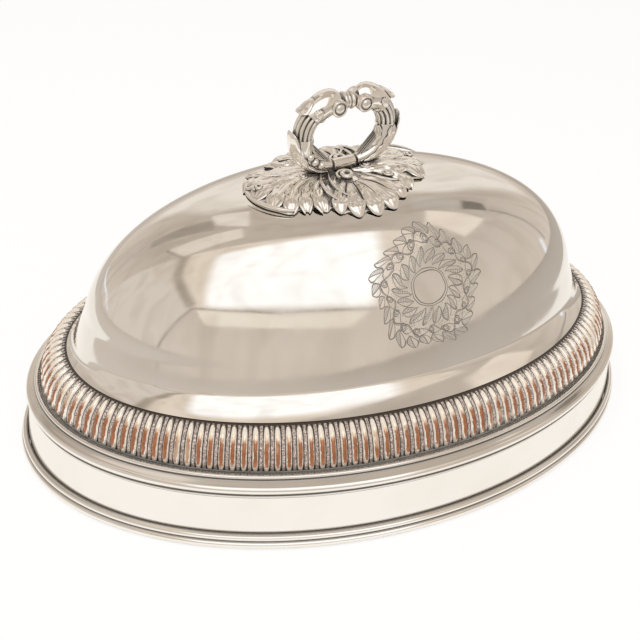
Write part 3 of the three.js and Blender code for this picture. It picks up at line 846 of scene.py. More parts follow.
SHEATH_START = -76
SHEATH_END = 3
CAP_START = 38
stem_rows = [(limb_distance(SHEATH_START), 0, 3.6, 3.6), (limb_distance(SHEATH_END) - 1, 0, 3.6, 3.6)]
stem_start = limb_distance(SHEATH_END) - 0.9
stem_end = limb_distance(CAP_START) + 2
for i in range(13):
    share = i / 12
    girth = STEM_RADIUS * (0.97 + 0.05 * math.sin(math.pi * share))
    stem_rows.append((stem_start + (stem_end - stem_start) * share, 0, girth, girth))
arms = both_limbs(closed_tube("handle_arm", stem_rows, REEDS * REED_SIDES, reed_shape), "cast_silver",
                  "handle_arm", "handle_arm_reeded")

# %% [markdown]
# ## Leaf sheaths
#
# Each arm grows out of a calyx: a tapering tube wrapped in acanthus leaves, whose tips stand off the stem.
# The leaves are laid round the tube by turning their width into an angle, and three berries sit in a row on
# one side. On the bench this would be one carved pattern, so the pieces are joined into one.

# %% Calyx and leaves
def calyx_radius(distance):
    start = limb_distance(SHEATH_START)
    end = limb_distance(SHEATH_END)
    share = min(max((distance - start) / (end - start), 0), 1)
    return between([(0, 4.8), (0.2, 5.9), (0.45, 6.6), (0.7, 7.9), (0.9, 8.5), (1, 8.5)], share)


def lay_on_limb(leaf, start, turn_degrees, curl):
    """Wraps a flat leaf round the straight limb. Turn 0 faces outward, and the tip lifts off by curl mm."""
    length = max(vertex.co.x for vertex in leaf.data.vertices) / MM
    for vertex in leaf.data.vertices:
        x, y, z = vertex.co / MM
        radius = calyx_radius(start + x)
        lift = curl * max(x / length - 0.45, 0) ** 2 / 0.3
        angle = math.radians(turn_degrees) + y / radius
        reach = radius + lift + z
        vertex.co = Vector((start + x, -reach * math.cos(angle), reach * math.sin(angle))) * MM
    return leaf


sheath_start = limb_distance(SHEATH_START)
sheath_end = limb_distance(SHEATH_END)
calyx_rows = []
for i in range(15):
    x = sheath_start + (sheath_end - sheath_start) * i / 14
    calyx_rows.append((x, 0, calyx_radius(x) - 0.3, calyx_radius(x) - 0.3))
calyx = closed_tube("calyx", calyx_rows, 32)
# Turn round the limb, turns of the ring at stalk and tip, half width, relief, curl and lobes of each leaf
SHEATH_LEAVES = [
    (0, -74, 8, 8.2, 1.8, 5, 0),
    (160, -68, 1, 4.6, 1.5, 3, 4),
    (74, -70, 0, 6, 1.7, 1.8, 4),
    (-46, -72, -2, 4, 1.6, 1.2, 4),
    (-150, -66, -8, 4, 1.4, 1, 3),
]
sheath_pieces = [calyx]
for turn, start_turn, tip_turn, half_width, relief, curl, lobes in SHEATH_LEAVES:
    length = limb_distance(tip_turn) - limb_distance(start_turn)
    outline = POINTED if lobes else BLUNT
    tip = -2 if lobes else 2.5
    leaf = carved_leaf("sheath_leaf", length, half_width, relief, outline, lobes, tip, 1)
    sheath_pieces.append(lay_on_limb(leaf, limb_distance(start_turn), turn, curl))
BERRY_RADIUS = 3.3
# Turns of the ring where the berries sit, their turn round the limb and their distance from its line
BERRY_TURNS = (-55, -40, -24)
BERRY_SIDE = math.radians(-104)
BERRY_REACH = 6.4
for turn in BERRY_TURNS:
    clear_selection()
    bpy.ops.mesh.primitive_uv_sphere_add(segments=20, ring_count=12, radius=BERRY_RADIUS * MM)
    berry = new_piece("berry")
    out = BERRY_REACH * math.cos(BERRY_SIDE)
    aside = BERRY_REACH * math.sin(BERRY_SIDE)
    centre = Vector((limb_distance(turn), -out, aside)) * MM
    berry.data.transform(Matrix.Translation(centre))
    sheath_pieces.append(berry)
sheath = join_pieces("leaf_sheath", sheath_pieces)
sheaths = both_limbs(sheath, "cast_silver", "leaf_sheath", "leaf_sheath_carved")

# %% [markdown]
# ## Scroll caps
#
# A smooth hood covers the top of each stem, pointed like a beak over the reeds and rolled into a volute next
# to the collar. The hood is a tube that swells towards the outside of the ring. The volute is a drum whose
# ends are inset and pushed in and out, which leaves a rim, a groove and a round eye.

# %% Hoods
# Turn of the ring, shift outward, half width and half height in mm of the hood's rings
HOOD_RINGS = [
    (36.5, 1.4, 7.4, 8.2), (37.5, 1.5, 8.7, 9.4), (40, 1.4, 9, 9.5), (46, 1.4, 9.3, 9.6),
    (52, 1.6, 9.6, 9.8), (58, 1.9, 9.9, 10.1), (64, 2.1, 10, 10.4), (70, 2.4, 9.2, 10.3),
    (75, 2.4, 7.8, 9.9), (79, 1.8, 6.6, 8.9), (82, 0.9, 5.8, 7.6),
]
# Turn round the limb, turn of the ring at the tip, half width, lobes and how far the tip stands off
CAP_LEAVES = [
    (0, 31, 8, 0, 2.6),
    (80, 42, 5, 3, 0.6), (-80, 42, 5, 3, 0.6),
    (140, 43, 4.5, 2, 0.4), (-140, 43, 4.5, 2, 0.4),
]
# Turn of the ring at the stalks, then in mm the leaves' relief, their distance from the limb and their shift
CAP_LEAF_START = 54
CAP_LEAF_RELIEF = 0.9
CAP_LEAF_REACH = 9.8
CAP_LEAF_SHIFT = 1.6
# The radius that the leaves' width is wrapped round, and the share of a leaf after which its tip stands off
CAP_LEAF_WRAP = 10
CAP_LEAF_LIES = 0.7
hood = closed_tube("hood", [(limb_distance(turn), *ring) for turn, *ring in HOOD_RINGS], 48)
cap_leaves = []
for turn, tip_turn, half_width, lobes, lift in CAP_LEAVES:
    start = limb_distance(CAP_LEAF_START)
    length = start - limb_distance(tip_turn)
    leaf = carved_leaf("cap_leaf", length, half_width, CAP_LEAF_RELIEF, POINTED, lobes, 0, 0.8)
    leaf.data.transform(Matrix.Rotation(math.pi, 4, "Z"))
    for vertex in leaf.data.vertices:
        x, y, z = vertex.co / MM
        stands_off = max(-x / length - CAP_LEAF_LIES, 0) / (1 - CAP_LEAF_LIES)
        reach = CAP_LEAF_REACH + z + lift * stands_off
        angle = math.radians(turn) + y / CAP_LEAF_WRAP
        out = CAP_LEAF_SHIFT + reach * math.cos(angle)
        vertex.co = Vector((start + x, -out, reach * math.sin(angle))) * MM
    cap_leaves.append(leaf)
cap = join_pieces("scroll_cap", [hood, *cap_leaves])
caps = both_limbs(cap, "cast_silver", "scroll_cap", "scroll_cap_smooth")

# %% Volutes
VOLUTE_X = 11.6
VOLUTE_Z = 282.6
VOLUTE_RADIUS = 6.6
VOLUTE_WIDTH = 20.4
# Insets and lifts in mm from the end's edge to its middle: a rim, a groove and a round eye
VOLUTE_STEPS = [
    (0.4, 0.4), (1.2, 0.2), (0.3, -1.3), (0.5, 0), (0.3, 0.9), (0.7, 0.8), (0.9, 0.5), (1, 0.2),
]


def volute():
    clear_selection()
    bpy.ops.mesh.primitive_cylinder_add(
        vertices=40, radius=VOLUTE_RADIUS * MM, depth=VOLUTE_WIDTH * MM, rotation=(math.pi / 2, 0, 0))
    drum = new_piece("volute")
    bpy.ops.object.transform_apply(rotation=True)
    for side in (1, -1):
        end = [i for i, v in enumerate(drum.data.vertices) if v.co.y * side > (VOLUTE_WIDTH / 2 - 0.1) * MM]
        pick_vertices(drum, end)
        bpy.ops.mesh.select_mode(type="FACE")
        for inset, depth in VOLUTE_STEPS:
            bpy.ops.mesh.inset(thickness=inset * MM)
            bpy.ops.transform.translate(value=(0, side * depth * MM, 0))
        bpy.ops.object.mode_set(mode="OBJECT")
    drum.data.transform(Matrix.Translation((VOLUTE_X * MM, 0, VOLUTE_Z * MM)))
    return finish_mesh(drum, 50)


right_volute = volute()
left_volute = copy_piece(right_volute, "volute_left")
right_volute.name = "volute_right"
set_on_cover(right_volute)
set_on_cover(left_volute, True)
place(right_volute, "cast_silver", "scroll_cap_right")
place(left_volute, "cast_silver", "scroll_cap_left")

# %% [markdown]
# ## Collar and sleeve
#
# The collar that joins the two scrolls at the top is turned with three rings. The sleeve at the bottom is a
# plain tube with a fine rim at each end. Both are circles extruded along X.

# %% Collar and sleeve
# Place along X and radius of the sleeve from its end to its middle
SLEEVE_HALF = [(9.8, 4.3), (9.7, 4.7), (9, 4.7), (8.8, 4.45), (8.2, 4.4), (5, 4.45), (1.5, 4.45)]
collar_rows = []
for middle, swell in ((-3.2, 7.2), (0, 6.4), (3.2, 7.2)):
    for along, drop in ((-1.5, 1.3), (-1.1, 0.5), (-0.4, 0.05), (0.4, 0.05), (1.1, 0.5), (1.5, 1.3)):
        collar_rows.append((middle + along, 0, swell - drop, swell - drop))
collar = closed_tube("top_collar_turned", collar_rows, 48)
collar.data.transform(Matrix.Translation((0, 0, (HANDLE_CENTRE_Z + HANDLE_HALF_HEIGHT) * MM)))
left_half = [(-x, 0, radius, radius) for x, radius in SLEEVE_HALF]
right_half = [(x, 0, radius, radius) for x, radius in reversed(SLEEVE_HALF)]
sleeve_rows = [*left_half, *right_half]
sleeve = closed_tube("handle_sleeve_turned", sleeve_rows, 40)
sleeve.data.transform(Matrix.Translation((0, 0, (HANDLE_CENTRE_Z - HANDLE_HALF_HEIGHT) * MM)))
for piece, node_name in ((collar, "top_collar"), (sleeve, "handle_sleeve")):
    finish_mesh(piece, 40)
    set_on_cover(piece)
    place(piece, "cast_silver", node_name)

# %% [markdown]
# ## Hollows
#
# Old silver is cleaned by rubbing, so tarnish stays in the hollows, and the finishes darken them with it and
# with painted shade. For each vertex, short rays are sent out on the free side, and the share that meets
# metal close by is kept as an attribute. The finishes read it.

# %% Hollows
RAYS = 20
# How far off the metal the rays start and how far they look, in mm
RAY_START = 0.15
HOLLOW_REACH = 5


def ray_fan(count):
    """Directions over a half sphere about +Z, closer together towards the middle."""
    golden = math.pi * (3 - math.sqrt(5))
    fan = []
    for i in range(count):
        out = math.sqrt((i + 0.5) / count)
        turn = i * golden
        fan.append(Vector((out * math.cos(turn), out * math.sin(turn), math.sqrt(1 - out * out))))
    return fan


def mark_hollows(pieces, around, reach):
    """Writes 0 where the outlook of a vertex is free and 1 where metal within the reach (mm) shuts it in."""
    corners = []
    faces = []
    for piece in [*pieces, *around]:
        first = len(corners)
        corners += [vertex.co.copy() for vertex in piece.data.vertices]
        faces += [[first + i for i in face.vertices] for face in piece.data.polygons]
    metal = BVHTree.FromPolygons(corners, faces)
    fan = ray_fan(RAYS)
    for piece in pieces:
        shares = []
        for vertex in piece.data.vertices:
            turn = vertex.normal.to_track_quat("Z", "X")
            start = vertex.co + vertex.normal * RAY_START * MM
            met = sum(metal.ray_cast(start, turn @ ray, reach * MM)[0] is not None for ray in fan)
            shares.append(met / len(fan))
        piece.data.attributes.new("hollow", "FLOAT", "POINT").data.foreach_set("value", shares)
    print("vertices looked at:", sum(len(piece.data.vertices) for piece in pieces))


# The hollows found here are painted dark in the finishes, as tarnish and as painted shade
cast_pieces = [mount, *arms, *sheaths, *caps, right_volute, left_volute, collar, sleeve]
mark_hollows(cast_pieces, [dome], HOLLOW_REACH)
mouldings = [foot, skirt, shoulder, bead, milled_line]
mark_hollows(mouldings, [band, dome], HOLLOW_REACH)

# %% [markdown]
# ## Finishes
#
# Polished silver is nearly a mirror, and what makes it look real is what disturbs the mirror: very low waves
# left by the hammer, hair scratches and faint yellow tarnish. The flutes are worn to the copper where hands
# rub them and dark where no cloth reaches. Waves and scratches are one node group, tarnish is another.

# %% Node helpers
def new_group(name, inputs, outputs):
    """An empty node group with its sockets, and its first and last node."""
    group = bpy.data.node_groups.new(name, "ShaderNodeTree")
    for label, kind, value in inputs:
        socket = group.interface.new_socket(name=label, in_out="INPUT", socket_type=kind)
        socket.default_value = value
    for label, kind in outputs:
        group.interface.new_socket(name=label, in_out="OUTPUT", socket_type=kind)
    start = group.nodes.new("NodeGroupInput")
    end = group.nodes.new("NodeGroupOutput")
    return group, start, end


def node(tree, kind, **values):
    """A node with its plain settings and the values of its named sockets."""
    made = tree.nodes.new(kind)
    for key, value in values.items():
        if hasattr(made, key):
            setattr(made, key, value)
        else:
            made.inputs[key.replace("_", " ")].default_value = value
    return made


def link(tree, source, target):
    tree.links.new(source, target)


def ramp(tree, source, low, high):
    """Spreads the values from low to high over 0 to 1."""
    spread = node(tree, "ShaderNodeMapRange")
    spread.inputs["From Min"].default_value = low
    spread.inputs["From Max"].default_value = high
    link(tree, source, spread.inputs["Value"])
    return spread.outputs["Result"]


def maths(tree, operation, first, second=0.0):
    made = node(tree, "ShaderNodeMath", operation=operation)
    for socket, value in zip(made.inputs, (first, second)):
        if isinstance(value, bpy.types.NodeSocket):
            link(tree, value, socket)
        else:
            socket.default_value = value
    return made.outputs[0]


def times(tree, first, second):
    return maths(tree, "MULTIPLY", first, second)


def plus(tree, first, second):
    return maths(tree, "ADD", first, second)


def minus(tree, first, second):
    return maths(tree, "SUBTRACT", first, second)


def mix_colours(tree, share, first, second):
    """For colours, the node has its share at socket 0 and the two colours at sockets 6 and 7."""
    made = node(tree, "ShaderNodeMix", data_type="RGBA")
    for socket, value in ((made.inputs[0], share), (made.inputs[6], first), (made.inputs[7], second)):
        if isinstance(value, bpy.types.NodeSocket):
            link(tree, value, socket)
        else:
            socket.default_value = value
    return made.outputs[2]


# %% Node group: waves and hair scratches
# The scratches are a noise drawn out along one skew direction, since a cloth is pulled mostly one way
HAIR_TURN = (0.4, 0.2, 0.7)
HAIR_SCALE = (900.0, 60.0, 900.0)
wear, wear_in, wear_out = new_group(
    "hand polish",
    [("Vector", "NodeSocketVector", (0, 0, 0)), ("Waves", "NodeSocketFloat", 0.5),
     ("Scratches", "NodeSocketFloat", 0.5)],
    [("Height", "NodeSocketFloat"), ("Roughness", "NodeSocketFloat")],
)
waves = node(wear, "ShaderNodeTexNoise", Scale=22.0, Detail=2.0, Roughness=0.5)
hair_turn = node(wear, "ShaderNodeMapping")
hair_turn.inputs["Rotation"].default_value = HAIR_TURN
hair_turn.inputs["Scale"].default_value = HAIR_SCALE
hair = node(wear, "ShaderNodeTexNoise", Scale=1.0, Detail=3.0, Roughness=0.7)
clouds = node(wear, "ShaderNodeTexNoise", Scale=35.0, Detail=5.0, Roughness=0.65)
link(wear, wear_in.outputs["Vector"], waves.inputs["Vector"])
link(wear, wear_in.outputs["Vector"], hair_turn.inputs["Vector"])
link(wear, hair_turn.outputs["Vector"], hair.inputs["Vector"])
link(wear, wear_in.outputs["Vector"], clouds.inputs["Vector"])
low_waves = times(wear, waves.outputs["Fac"], wear_in.outputs["Waves"])
fine_hair = times(wear, ramp(wear, hair.outputs["Fac"], 0.62, 0.75), wear_in.outputs["Scratches"])
link(wear, plus(wear, low_waves, times(wear, fine_hair, 0.01)), wear_out.inputs["Height"])
dull = times(wear, ramp(wear, clouds.outputs["Fac"], 0.3, 0.8), 0.12)
link(wear, plus(wear, dull, times(wear, fine_hair, 0.15)), wear_out.inputs["Roughness"])
print("nodes in the hand polish:", len(wear.nodes))

# %% Node group: tarnish
tarnish, tarnish_in, tarnish_out = new_group(
    "tarnish",
    [("Vector", "NodeSocketVector", (0, 0, 0)), ("Metal", "NodeSocketColor", (0.8, 0.8, 0.8, 1)),
     ("Stain", "NodeSocketColor", (0.5, 0.4, 0.3, 1)), ("Amount", "NodeSocketFloat", 0.3)],
    [("Color", "NodeSocketColor")],
)
patches = node(tarnish, "ShaderNodeTexNoise", Scale=14.0, Detail=6.0, Roughness=0.6)
link(tarnish, tarnish_in.outputs["Vector"], patches.inputs["Vector"])
spread = ramp(tarnish, patches.outputs["Fac"], 0.4, 0.75)
share = times(tarnish, spread, tarnish_in.outputs["Amount"])
stained = mix_colours(tarnish, share, tarnish_in.outputs["Metal"], tarnish_in.outputs["Stain"])
link(tarnish, stained, tarnish_out.inputs["Color"])
print("nodes in the tarnish:", len(tarnish.nodes))

# %% [markdown]
# ## Polished metals
#
# All the plain metals are one recipe with other numbers: a metal and the colour of its stains, then how much
# of it is stained, how wavy and how rough it is. Cast pieces and mouldings are also dark where the hollow
# attribute says that metal shuts them in: dirt that no cloth reaches, and painted shade. The dome, skirt
# and band get tin for the faces that look inwards.

# %% Polished silver
def new_material(name):
    material = bpy.data.materials.new(name)
    material.use_nodes = True
    tree = material.node_tree
    shader = tree.nodes["Principled BSDF"]
    place_of = node(tree, "ShaderNodeTexCoord")
    return material, tree, shader, place_of.outputs["Object"]


SCRATCHES = 0.6
# The waves of the hammer stay far under a millimetre, here in metres
WAVE_DEPTH = 0.0006
WAVE_STRENGTH = 0.35


def polished(name, metal, stain, amount, waves_share, roughness):
    """A metal with stains on an amount of it, hammer waves and hair scratches."""
    material, tree, shader, place_of = new_material(name)
    shader.inputs["Metallic"].default_value = 1.0
    finish = node(tree, "ShaderNodeGroup", node_tree=wear)
    finish.inputs["Waves"].default_value = waves_share
    finish.inputs["Scratches"].default_value = SCRATCHES
    link(tree, place_of, finish.inputs["Vector"])
    colour = node(tree, "ShaderNodeGroup", node_tree=tarnish)
    colour.inputs["Metal"].default_value = metal
    colour.inputs["Stain"].default_value = stain
    colour.inputs["Amount"].default_value = amount
    link(tree, place_of, colour.inputs["Vector"])
    link(tree, colour.outputs["Color"], shader.inputs["Base Color"])
    link(tree, plus(tree, finish.outputs["Roughness"], roughness), shader.inputs["Roughness"])
    bump = node(tree, "ShaderNodeBump", Strength=WAVE_STRENGTH, Distance=WAVE_DEPTH)
    link(tree, finish.outputs["Height"], bump.inputs["Height"])
    link(tree, bump.outputs["Normal"], shader.inputs["Normal"])
    return material


# %% Dirt and painted shade in the hollows
# Colour of the hollows: partly dirt, partly painted shade
DIRT_AND_SHADE = (0.05, 0.04, 0.032, 1)
# How much roughness the full darkening adds, and how much of the metal it hides
DIRT_AND_SHADE_DULLS = 0.4
DIRT_AND_SHADE_HIDES = 0.6


def darken_hollows_with_dirt_and_shade(material, low, high, strength):
    """Paints dirt and shade, dark and dull, where the hollow attribute passes from low to high."""
    tree = material.node_tree
    shader = tree.nodes["Principled BSDF"]
    hollow = node(tree, "ShaderNodeAttribute", attribute_name="hollow")
    # The darkening is painted shade as well as dirt
    dirt_and_shade = times(tree, ramp(tree, hollow.outputs["Fac"], low, high), strength)
    for name in ("Base Color", "Roughness"):
        clean = shader.inputs[name].links[0].from_socket
        if name == "Base Color":
            mixed = mix_colours(tree, dirt_and_shade, clean, DIRT_AND_SHADE)
        else:
            mixed = plus(tree, clean, times(tree, dirt_and_shade, DIRT_AND_SHADE_DULLS))
        link(tree, mixed, shader.inputs[name])
    link(tree, minus(tree, 1.0, times(tree, dirt_and_shade, DIRT_AND_SHADE_HIDES)), shader.inputs["Metallic"])


# %% Silver, tin and yellow metal
SILVER = (0.93, 0.91, 0.875, 1)
CAST_SILVER = (0.97, 0.94, 0.895, 1)
SILVER_STAIN = (0.80, 0.73, 0.62, 1)
TIN = (0.66, 0.65, 0.62, 1)
TIN_STAIN = (0.42, 0.40, 0.36, 1)
BRASS = (0.80, 0.60, 0.30, 1)
BRASS_STAIN = (0.42, 0.28, 0.14, 1)
moulding_silver = polished(
    "silver of the mouldings", SILVER, SILVER_STAIN, amount=0.35, waves_share=0.4, roughness=0.06)
darken_hollows_with_dirt_and_shade(moulding_silver, low=0.18, high=0.5, strength=0.84)
cast_silver = polished("cast silver", CAST_SILVER, SILVER_STAIN, amount=0.3, waves_share=0.3, roughness=0.03)
darken_hollows_with_dirt_and_shade(cast_silver, low=0.22, high=0.7, strength=0.92)
tinned = polished("tinned sheet", TIN, TIN_STAIN, amount=0.7, waves_share=0.8, roughness=0.3)
yellow_metal = polished("yellow metal", BRASS, BRASS_STAIN, amount=0.6, waves_share=0.3, roughness=0.18)


def give_finish(pieces, material):
    for piece in pieces:
        piece.data.materials.clear()
        piece.data.materials.append(material)


# The plan is longer than it is wide, and this makes both directions count about the same
OVAL_EVENED = 2.2


def line_inside(piece, middle_height, material):
    """Gives the second finish to the faces that look at the middle of the cover."""
    piece.data.materials.append(material)
    for face in piece.data.polygons:
        outward = face.center - Vector((0, 0, middle_height * MM))
        outward.y *= OVAL_EVENED
        face.material_index = 1 if face.normal.dot(outward) < 0 else 0


give_finish(mouldings, moulding_silver)
give_finish(cast_pieces, cast_silver)
line_inside(skirt, 30, tinned)
print("pieces in silver:", len(mouldings) + len(cast_pieces))

# %% [markdown]
# ## Engraved wreath
#
# The dome's front carries engraving. Here it is a plain foliate wreath round an empty middle: two rings, a
# circle of slanted leaves with hatched halves, a running stem with buds, an outer circle of smaller leaves
# and a dotted ground between them. It is drawn in polar numbers on the dome's own surface, so its lines stay
# sharp from close by. The first cell has the distances that every line is drawn from.

# %% Distances on the dome
WREATH_CENTRE = Vector((35.7, -93.7, 166.3)) * MM
WREATH_NORMAL = Vector((0.0805, -0.8733, 0.4804))
# The engraving reaches this far in mm below the plane of its centre, so it stays off the dome's far side
WREATH_DEPTH = 25
# How far the engraver's hand strays, and half the width of a cut, in mm
HAND_SWAY = 7.0
CUT = 0.38
dome_silver = polished(
    "engraved silver of the dome", SILVER, SILVER_STAIN, amount=0.25, waves_share=0.5, roughness=0.03)
tree = dome_silver.node_tree
shader = tree.nodes["Principled BSDF"]
place_of = node(tree, "ShaderNodeTexCoord")


def along_axis(axis):
    """Distance in mm from the wreath's middle along an axis."""
    dot = node(tree, "ShaderNodeVectorMath", operation="DOT_PRODUCT")
    link(tree, place_of.outputs["Object"], dot.inputs[0])
    dot.inputs[1].default_value = axis / MM
    return minus(tree, dot.outputs["Value"], WREATH_CENTRE.dot(axis) / MM)


def cut_line(value, middle, half_width):
    """1 on a line where the value is the middle, 0 beside it."""
    away = maths(tree, "ABSOLUTE", minus(tree, value, middle))
    return ramp(tree, away, half_width * 1.35, half_width * 0.65)


def share_of_cell(angle, count, shift):
    """Place within one of the count cells round the wreath, from -0.5 to 0.5.

    Whole turns are added first, so that the fraction is taken of a positive number.
    """
    turns = plus(tree, times(tree, angle, count / (2 * math.pi)), shift)
    return minus(tree, maths(tree, "FRACT", plus(tree, turns, 100.0)), 0.5)


def strongest(*masks):
    best = masks[0]
    for mask in masks[1:]:
        best = maths(tree, "MAXIMUM", best, mask)
    return best


def diagonal(first, second):
    first_square = times(tree, first, first)
    second_square = times(tree, second, second)
    return maths(tree, "SQRT", plus(tree, first_square, second_square))


def unsteadily(value, stray):
    """The value as a hand would draw it, off by up to half the sway."""
    off = times(tree, minus(tree, stray, 0.5), HAND_SWAY)
    return plus(tree, value, off)


axis_right = Vector((-WREATH_NORMAL.y, WREATH_NORMAL.x, 0)).normalized()
axis_up = WREATH_NORMAL.cross(axis_right).normalized()
across = along_axis(axis_right)
upward = along_axis(axis_up)
hand = node(tree, "ShaderNodeTexNoise", Scale=55.0, Detail=1.0)
link(tree, place_of.outputs["Object"], hand.inputs["Vector"])
unsteady = node(tree, "ShaderNodeSeparateXYZ")
link(tree, hand.outputs["Color"], unsteady.inputs["Vector"])
across = unsteadily(across, unsteady.outputs["X"])
upward = unsteadily(upward, unsteady.outputs["Y"])
away = diagonal(across, upward)
angle = maths(tree, "ARCTAN2", upward, across)
# The wreath is pulled out a little at its corners, so that it isn't a stiff circle
CORNERS = 5.0
CORNER_PULL = 0.07
corners = maths(tree, "SINE", plus(tree, times(tree, angle, CORNERS), 0.3))
radius = maths(tree, "DIVIDE", away, plus(tree, times(tree, corners, CORNER_PULL), 1.0))
print("nodes for the distances:", len(tree.nodes))

# %% Rings and leaves
LEAF_COUNT = 18
LEAF_INNER = 17
LEAF_LENGTH = 14
OUTER_LEAF_COUNT = 25
OUTER_LEAF_INNER = 39
OUTER_LEAF_LENGTH = 9
# Half widths as shares of the room a leaf has: the widest place, the outline's cut and the rib's cut
LEAF_HALF_WIDTH = 0.44
EDGE_CUT = 0.044
RIB_CUT = 0.032
# How close the hatching is, and how much it leans from the rib
HATCH_STEP = 5.0
HATCH_LEAN = 14.0
HATCH_STRENGTH = 0.75
rings = strongest(cut_line(away, 13.5, CUT), cut_line(away, 15.2, CUT * 0.8))


def leaf_circle(inner, length, count, slant):
    """Outlined leaves round the middle with a rib each, hatched on one half."""
    share = ramp(tree, radius, inner, inner + length)
    begun = maths(tree, "GREATER_THAN", share, 0.001)
    inside = times(tree, begun, maths(tree, "LESS_THAN", share, 0.999))
    cell = share_of_cell(plus(tree, angle, times(tree, share, slant)), count, 0.0)
    swell = maths(tree, "SINE", times(tree, share, math.pi))
    width = times(tree, swell, LEAF_HALF_WIDTH)
    off_rib = maths(tree, "ABSOLUTE", cell)
    in_leaf = times(tree, maths(tree, "LESS_THAN", off_rib, width), inside)
    edge = times(tree, cut_line(minus(tree, off_rib, width), 0.0, EDGE_CUT), inside)
    rib = times(tree, cut_line(cell, 0.0, RIB_CUT), in_leaf)
    outward = times(tree, radius, HATCH_STEP)
    hatching = maths(tree, "SINE", plus(tree, outward, times(tree, off_rib, HATCH_LEAN)))
    half = times(tree, in_leaf, maths(tree, "LESS_THAN", cell, 0.0))
    hatched = times(tree, ramp(tree, hatching, 0.0, 0.5), half)
    return strongest(edge, rib, times(tree, hatched, HATCH_STRENGTH))


inner_leaves = leaf_circle(LEAF_INNER, LEAF_LENGTH, LEAF_COUNT, 0.3)
outer_leaves = leaf_circle(OUTER_LEAF_INNER, OUTER_LEAF_LENGTH, OUTER_LEAF_COUNT, -0.2)
leaves = strongest(inner_leaves, outer_leaves)
print("leaves in the wreath:", LEAF_COUNT + OUTER_LEAF_COUNT)

# %% Stems and buds
STEM_WAVES = 9
STEM_REACH = 36
STEM_SWING = 4
swing = maths(tree, "SINE", times(tree, angle, float(STEM_WAVES)))
stem_line = minus(tree, radius, times(tree, swing, STEM_SWING))
second_line = plus(tree, radius, times(tree, swing, STEM_SWING * 0.7))
stems = strongest(
    cut_line(stem_line, STEM_REACH, CUT * 1.2),
    cut_line(stem_line, STEM_REACH + 1.1, CUT * 0.6),
    cut_line(second_line, STEM_REACH, CUT * 0.8),
)
bud_cell = share_of_cell(angle, 2 * STEM_WAVES, 0.25)
bud_across = times(tree, bud_cell, 2 * math.pi * STEM_REACH / (2 * STEM_WAVES))
bud_away = diagonal(bud_across, minus(tree, radius, float(STEM_REACH)))
buds = strongest(cut_line(bud_away, 2.6, CUT), cut_line(bud_away, 1.3, CUT * 0.8))
print("buds on the stem:", 2 * STEM_WAVES)

# %% [markdown]
# The cuts are dark, dull and slightly sunk, and the dotted ground is half as dark as the lines. They could be
# cut into the mesh, but a bump is enough, since engraving is too shallow to show in the dome's outline.

# %% Cuts into the finish
CUT_COLOUR = (0.16, 0.135, 0.115, 1)
CUT_DARKNESS = 0.8
GROUND_STRENGTH = 0.5
on_front = maths(tree, "GREATER_THAN", along_axis(WREATH_NORMAL), -float(WREATH_DEPTH))
dots = node(tree, "ShaderNodeTexVoronoi", Scale=620.0)
link(tree, place_of.outputs["Object"], dots.inputs["Vector"])
under_outer_leaves = ramp(tree, radius, OUTER_LEAF_INNER + 3.0, OUTER_LEAF_INNER)
ground = times(tree, under_outer_leaves, ramp(tree, away, 15.5, 17.0))
ground = times(tree, ground, ramp(tree, dots.outputs["Distance"], 0.34, 0.26))
ground = times(tree, ground, GROUND_STRENGTH)
cuts = times(tree, strongest(rings, leaves, stems, buds, ground), on_front)
clean = shader.inputs["Base Color"].links[0].from_socket
engraved = mix_colours(tree, times(tree, cuts, CUT_DARKNESS), clean, CUT_COLOUR)
link(tree, engraved, shader.inputs["Base Color"])
dullness = shader.inputs["Roughness"].links[0].from_socket
link(tree, plus(tree, dullness, times(tree, cuts, 0.35)), shader.inputs["Roughness"])
engraving = node(tree, "ShaderNodeBump", Strength=0.4, Distance=0.0002, invert=True)
link(tree, cuts, engraving.inputs["Height"])
link(tree, shader.inputs["Normal"].links[0].from_socket, engraving.inputs["Normal"])
link(tree, engraving.outputs["Normal"], shader.inputs["Normal"])
give_finish([dome], dome_silver)
line_inside(dome, 100, tinned)
print("nodes in the dome's finish:", len(tree.nodes))

# %% [markdown]
# ## Worn silver of the flutes
#
# The lobes stand out, so the silver is rubbed off them and the copper shows in ragged patches. The reeds
# between them lie lower and keep a matted silver. The creases and both ends are painted dark, as grime and as
# the shade that falls there, under the dome's rim most of all. The grid of each flute carries its own
# coordinates, which tell the finish where on a flute it is.

# %% Places on a flute
worn_silver, tree, shader, place_of = new_material("worn silver on copper")
# Places on a flute, counted in columns of its grid
LOBE_COLUMN = 4
LOBE_HALF = 3
TOP_SEAT_ROW = 12
REED_COLUMN = 10.5
REED_HALF = 2.4
flute_map = node(tree, "ShaderNodeUVMap")
split = node(tree, "ShaderNodeSeparateXYZ")
link(tree, flute_map.outputs["UV"], split.inputs["Vector"])
column = times(tree, split.outputs["X"], len(FLUTE_COLUMNS) - 1)
heights = node(tree, "ShaderNodeSeparateXYZ")
link(tree, place_of, heights.inputs["Vector"])
rise = ramp(tree, heights.outputs["Z"], BAND_BOTTOM_Z * MM, (BAND_BOTTOM_Z + BAND_HEIGHT) * MM)
blotches = node(tree, "ShaderNodeTexNoise", Scale=330.0, Detail=3.0, Roughness=0.65)
link(tree, place_of, blotches.inputs["Vector"])
patches = node(tree, "ShaderNodeTexNoise", Scale=28.0, Detail=2.0, Roughness=0.5)
link(tree, place_of, patches.inputs["Vector"])
ragged = minus(tree, blotches.outputs["Fac"], 0.5)
off_lobe = maths(tree, "ABSOLUTE", minus(tree, column, LOBE_COLUMN))
from_lobe = maths(tree, "DIVIDE", off_lobe, LOBE_HALF)
from_reed = maths(tree, "ABSOLUTE", minus(tree, column, REED_COLUMN))
is_lobe = ramp(tree, from_lobe, 1.0, 0.93)
is_reed = ramp(tree, from_reed, REED_HALF + 0.15, REED_HALF - 0.15)
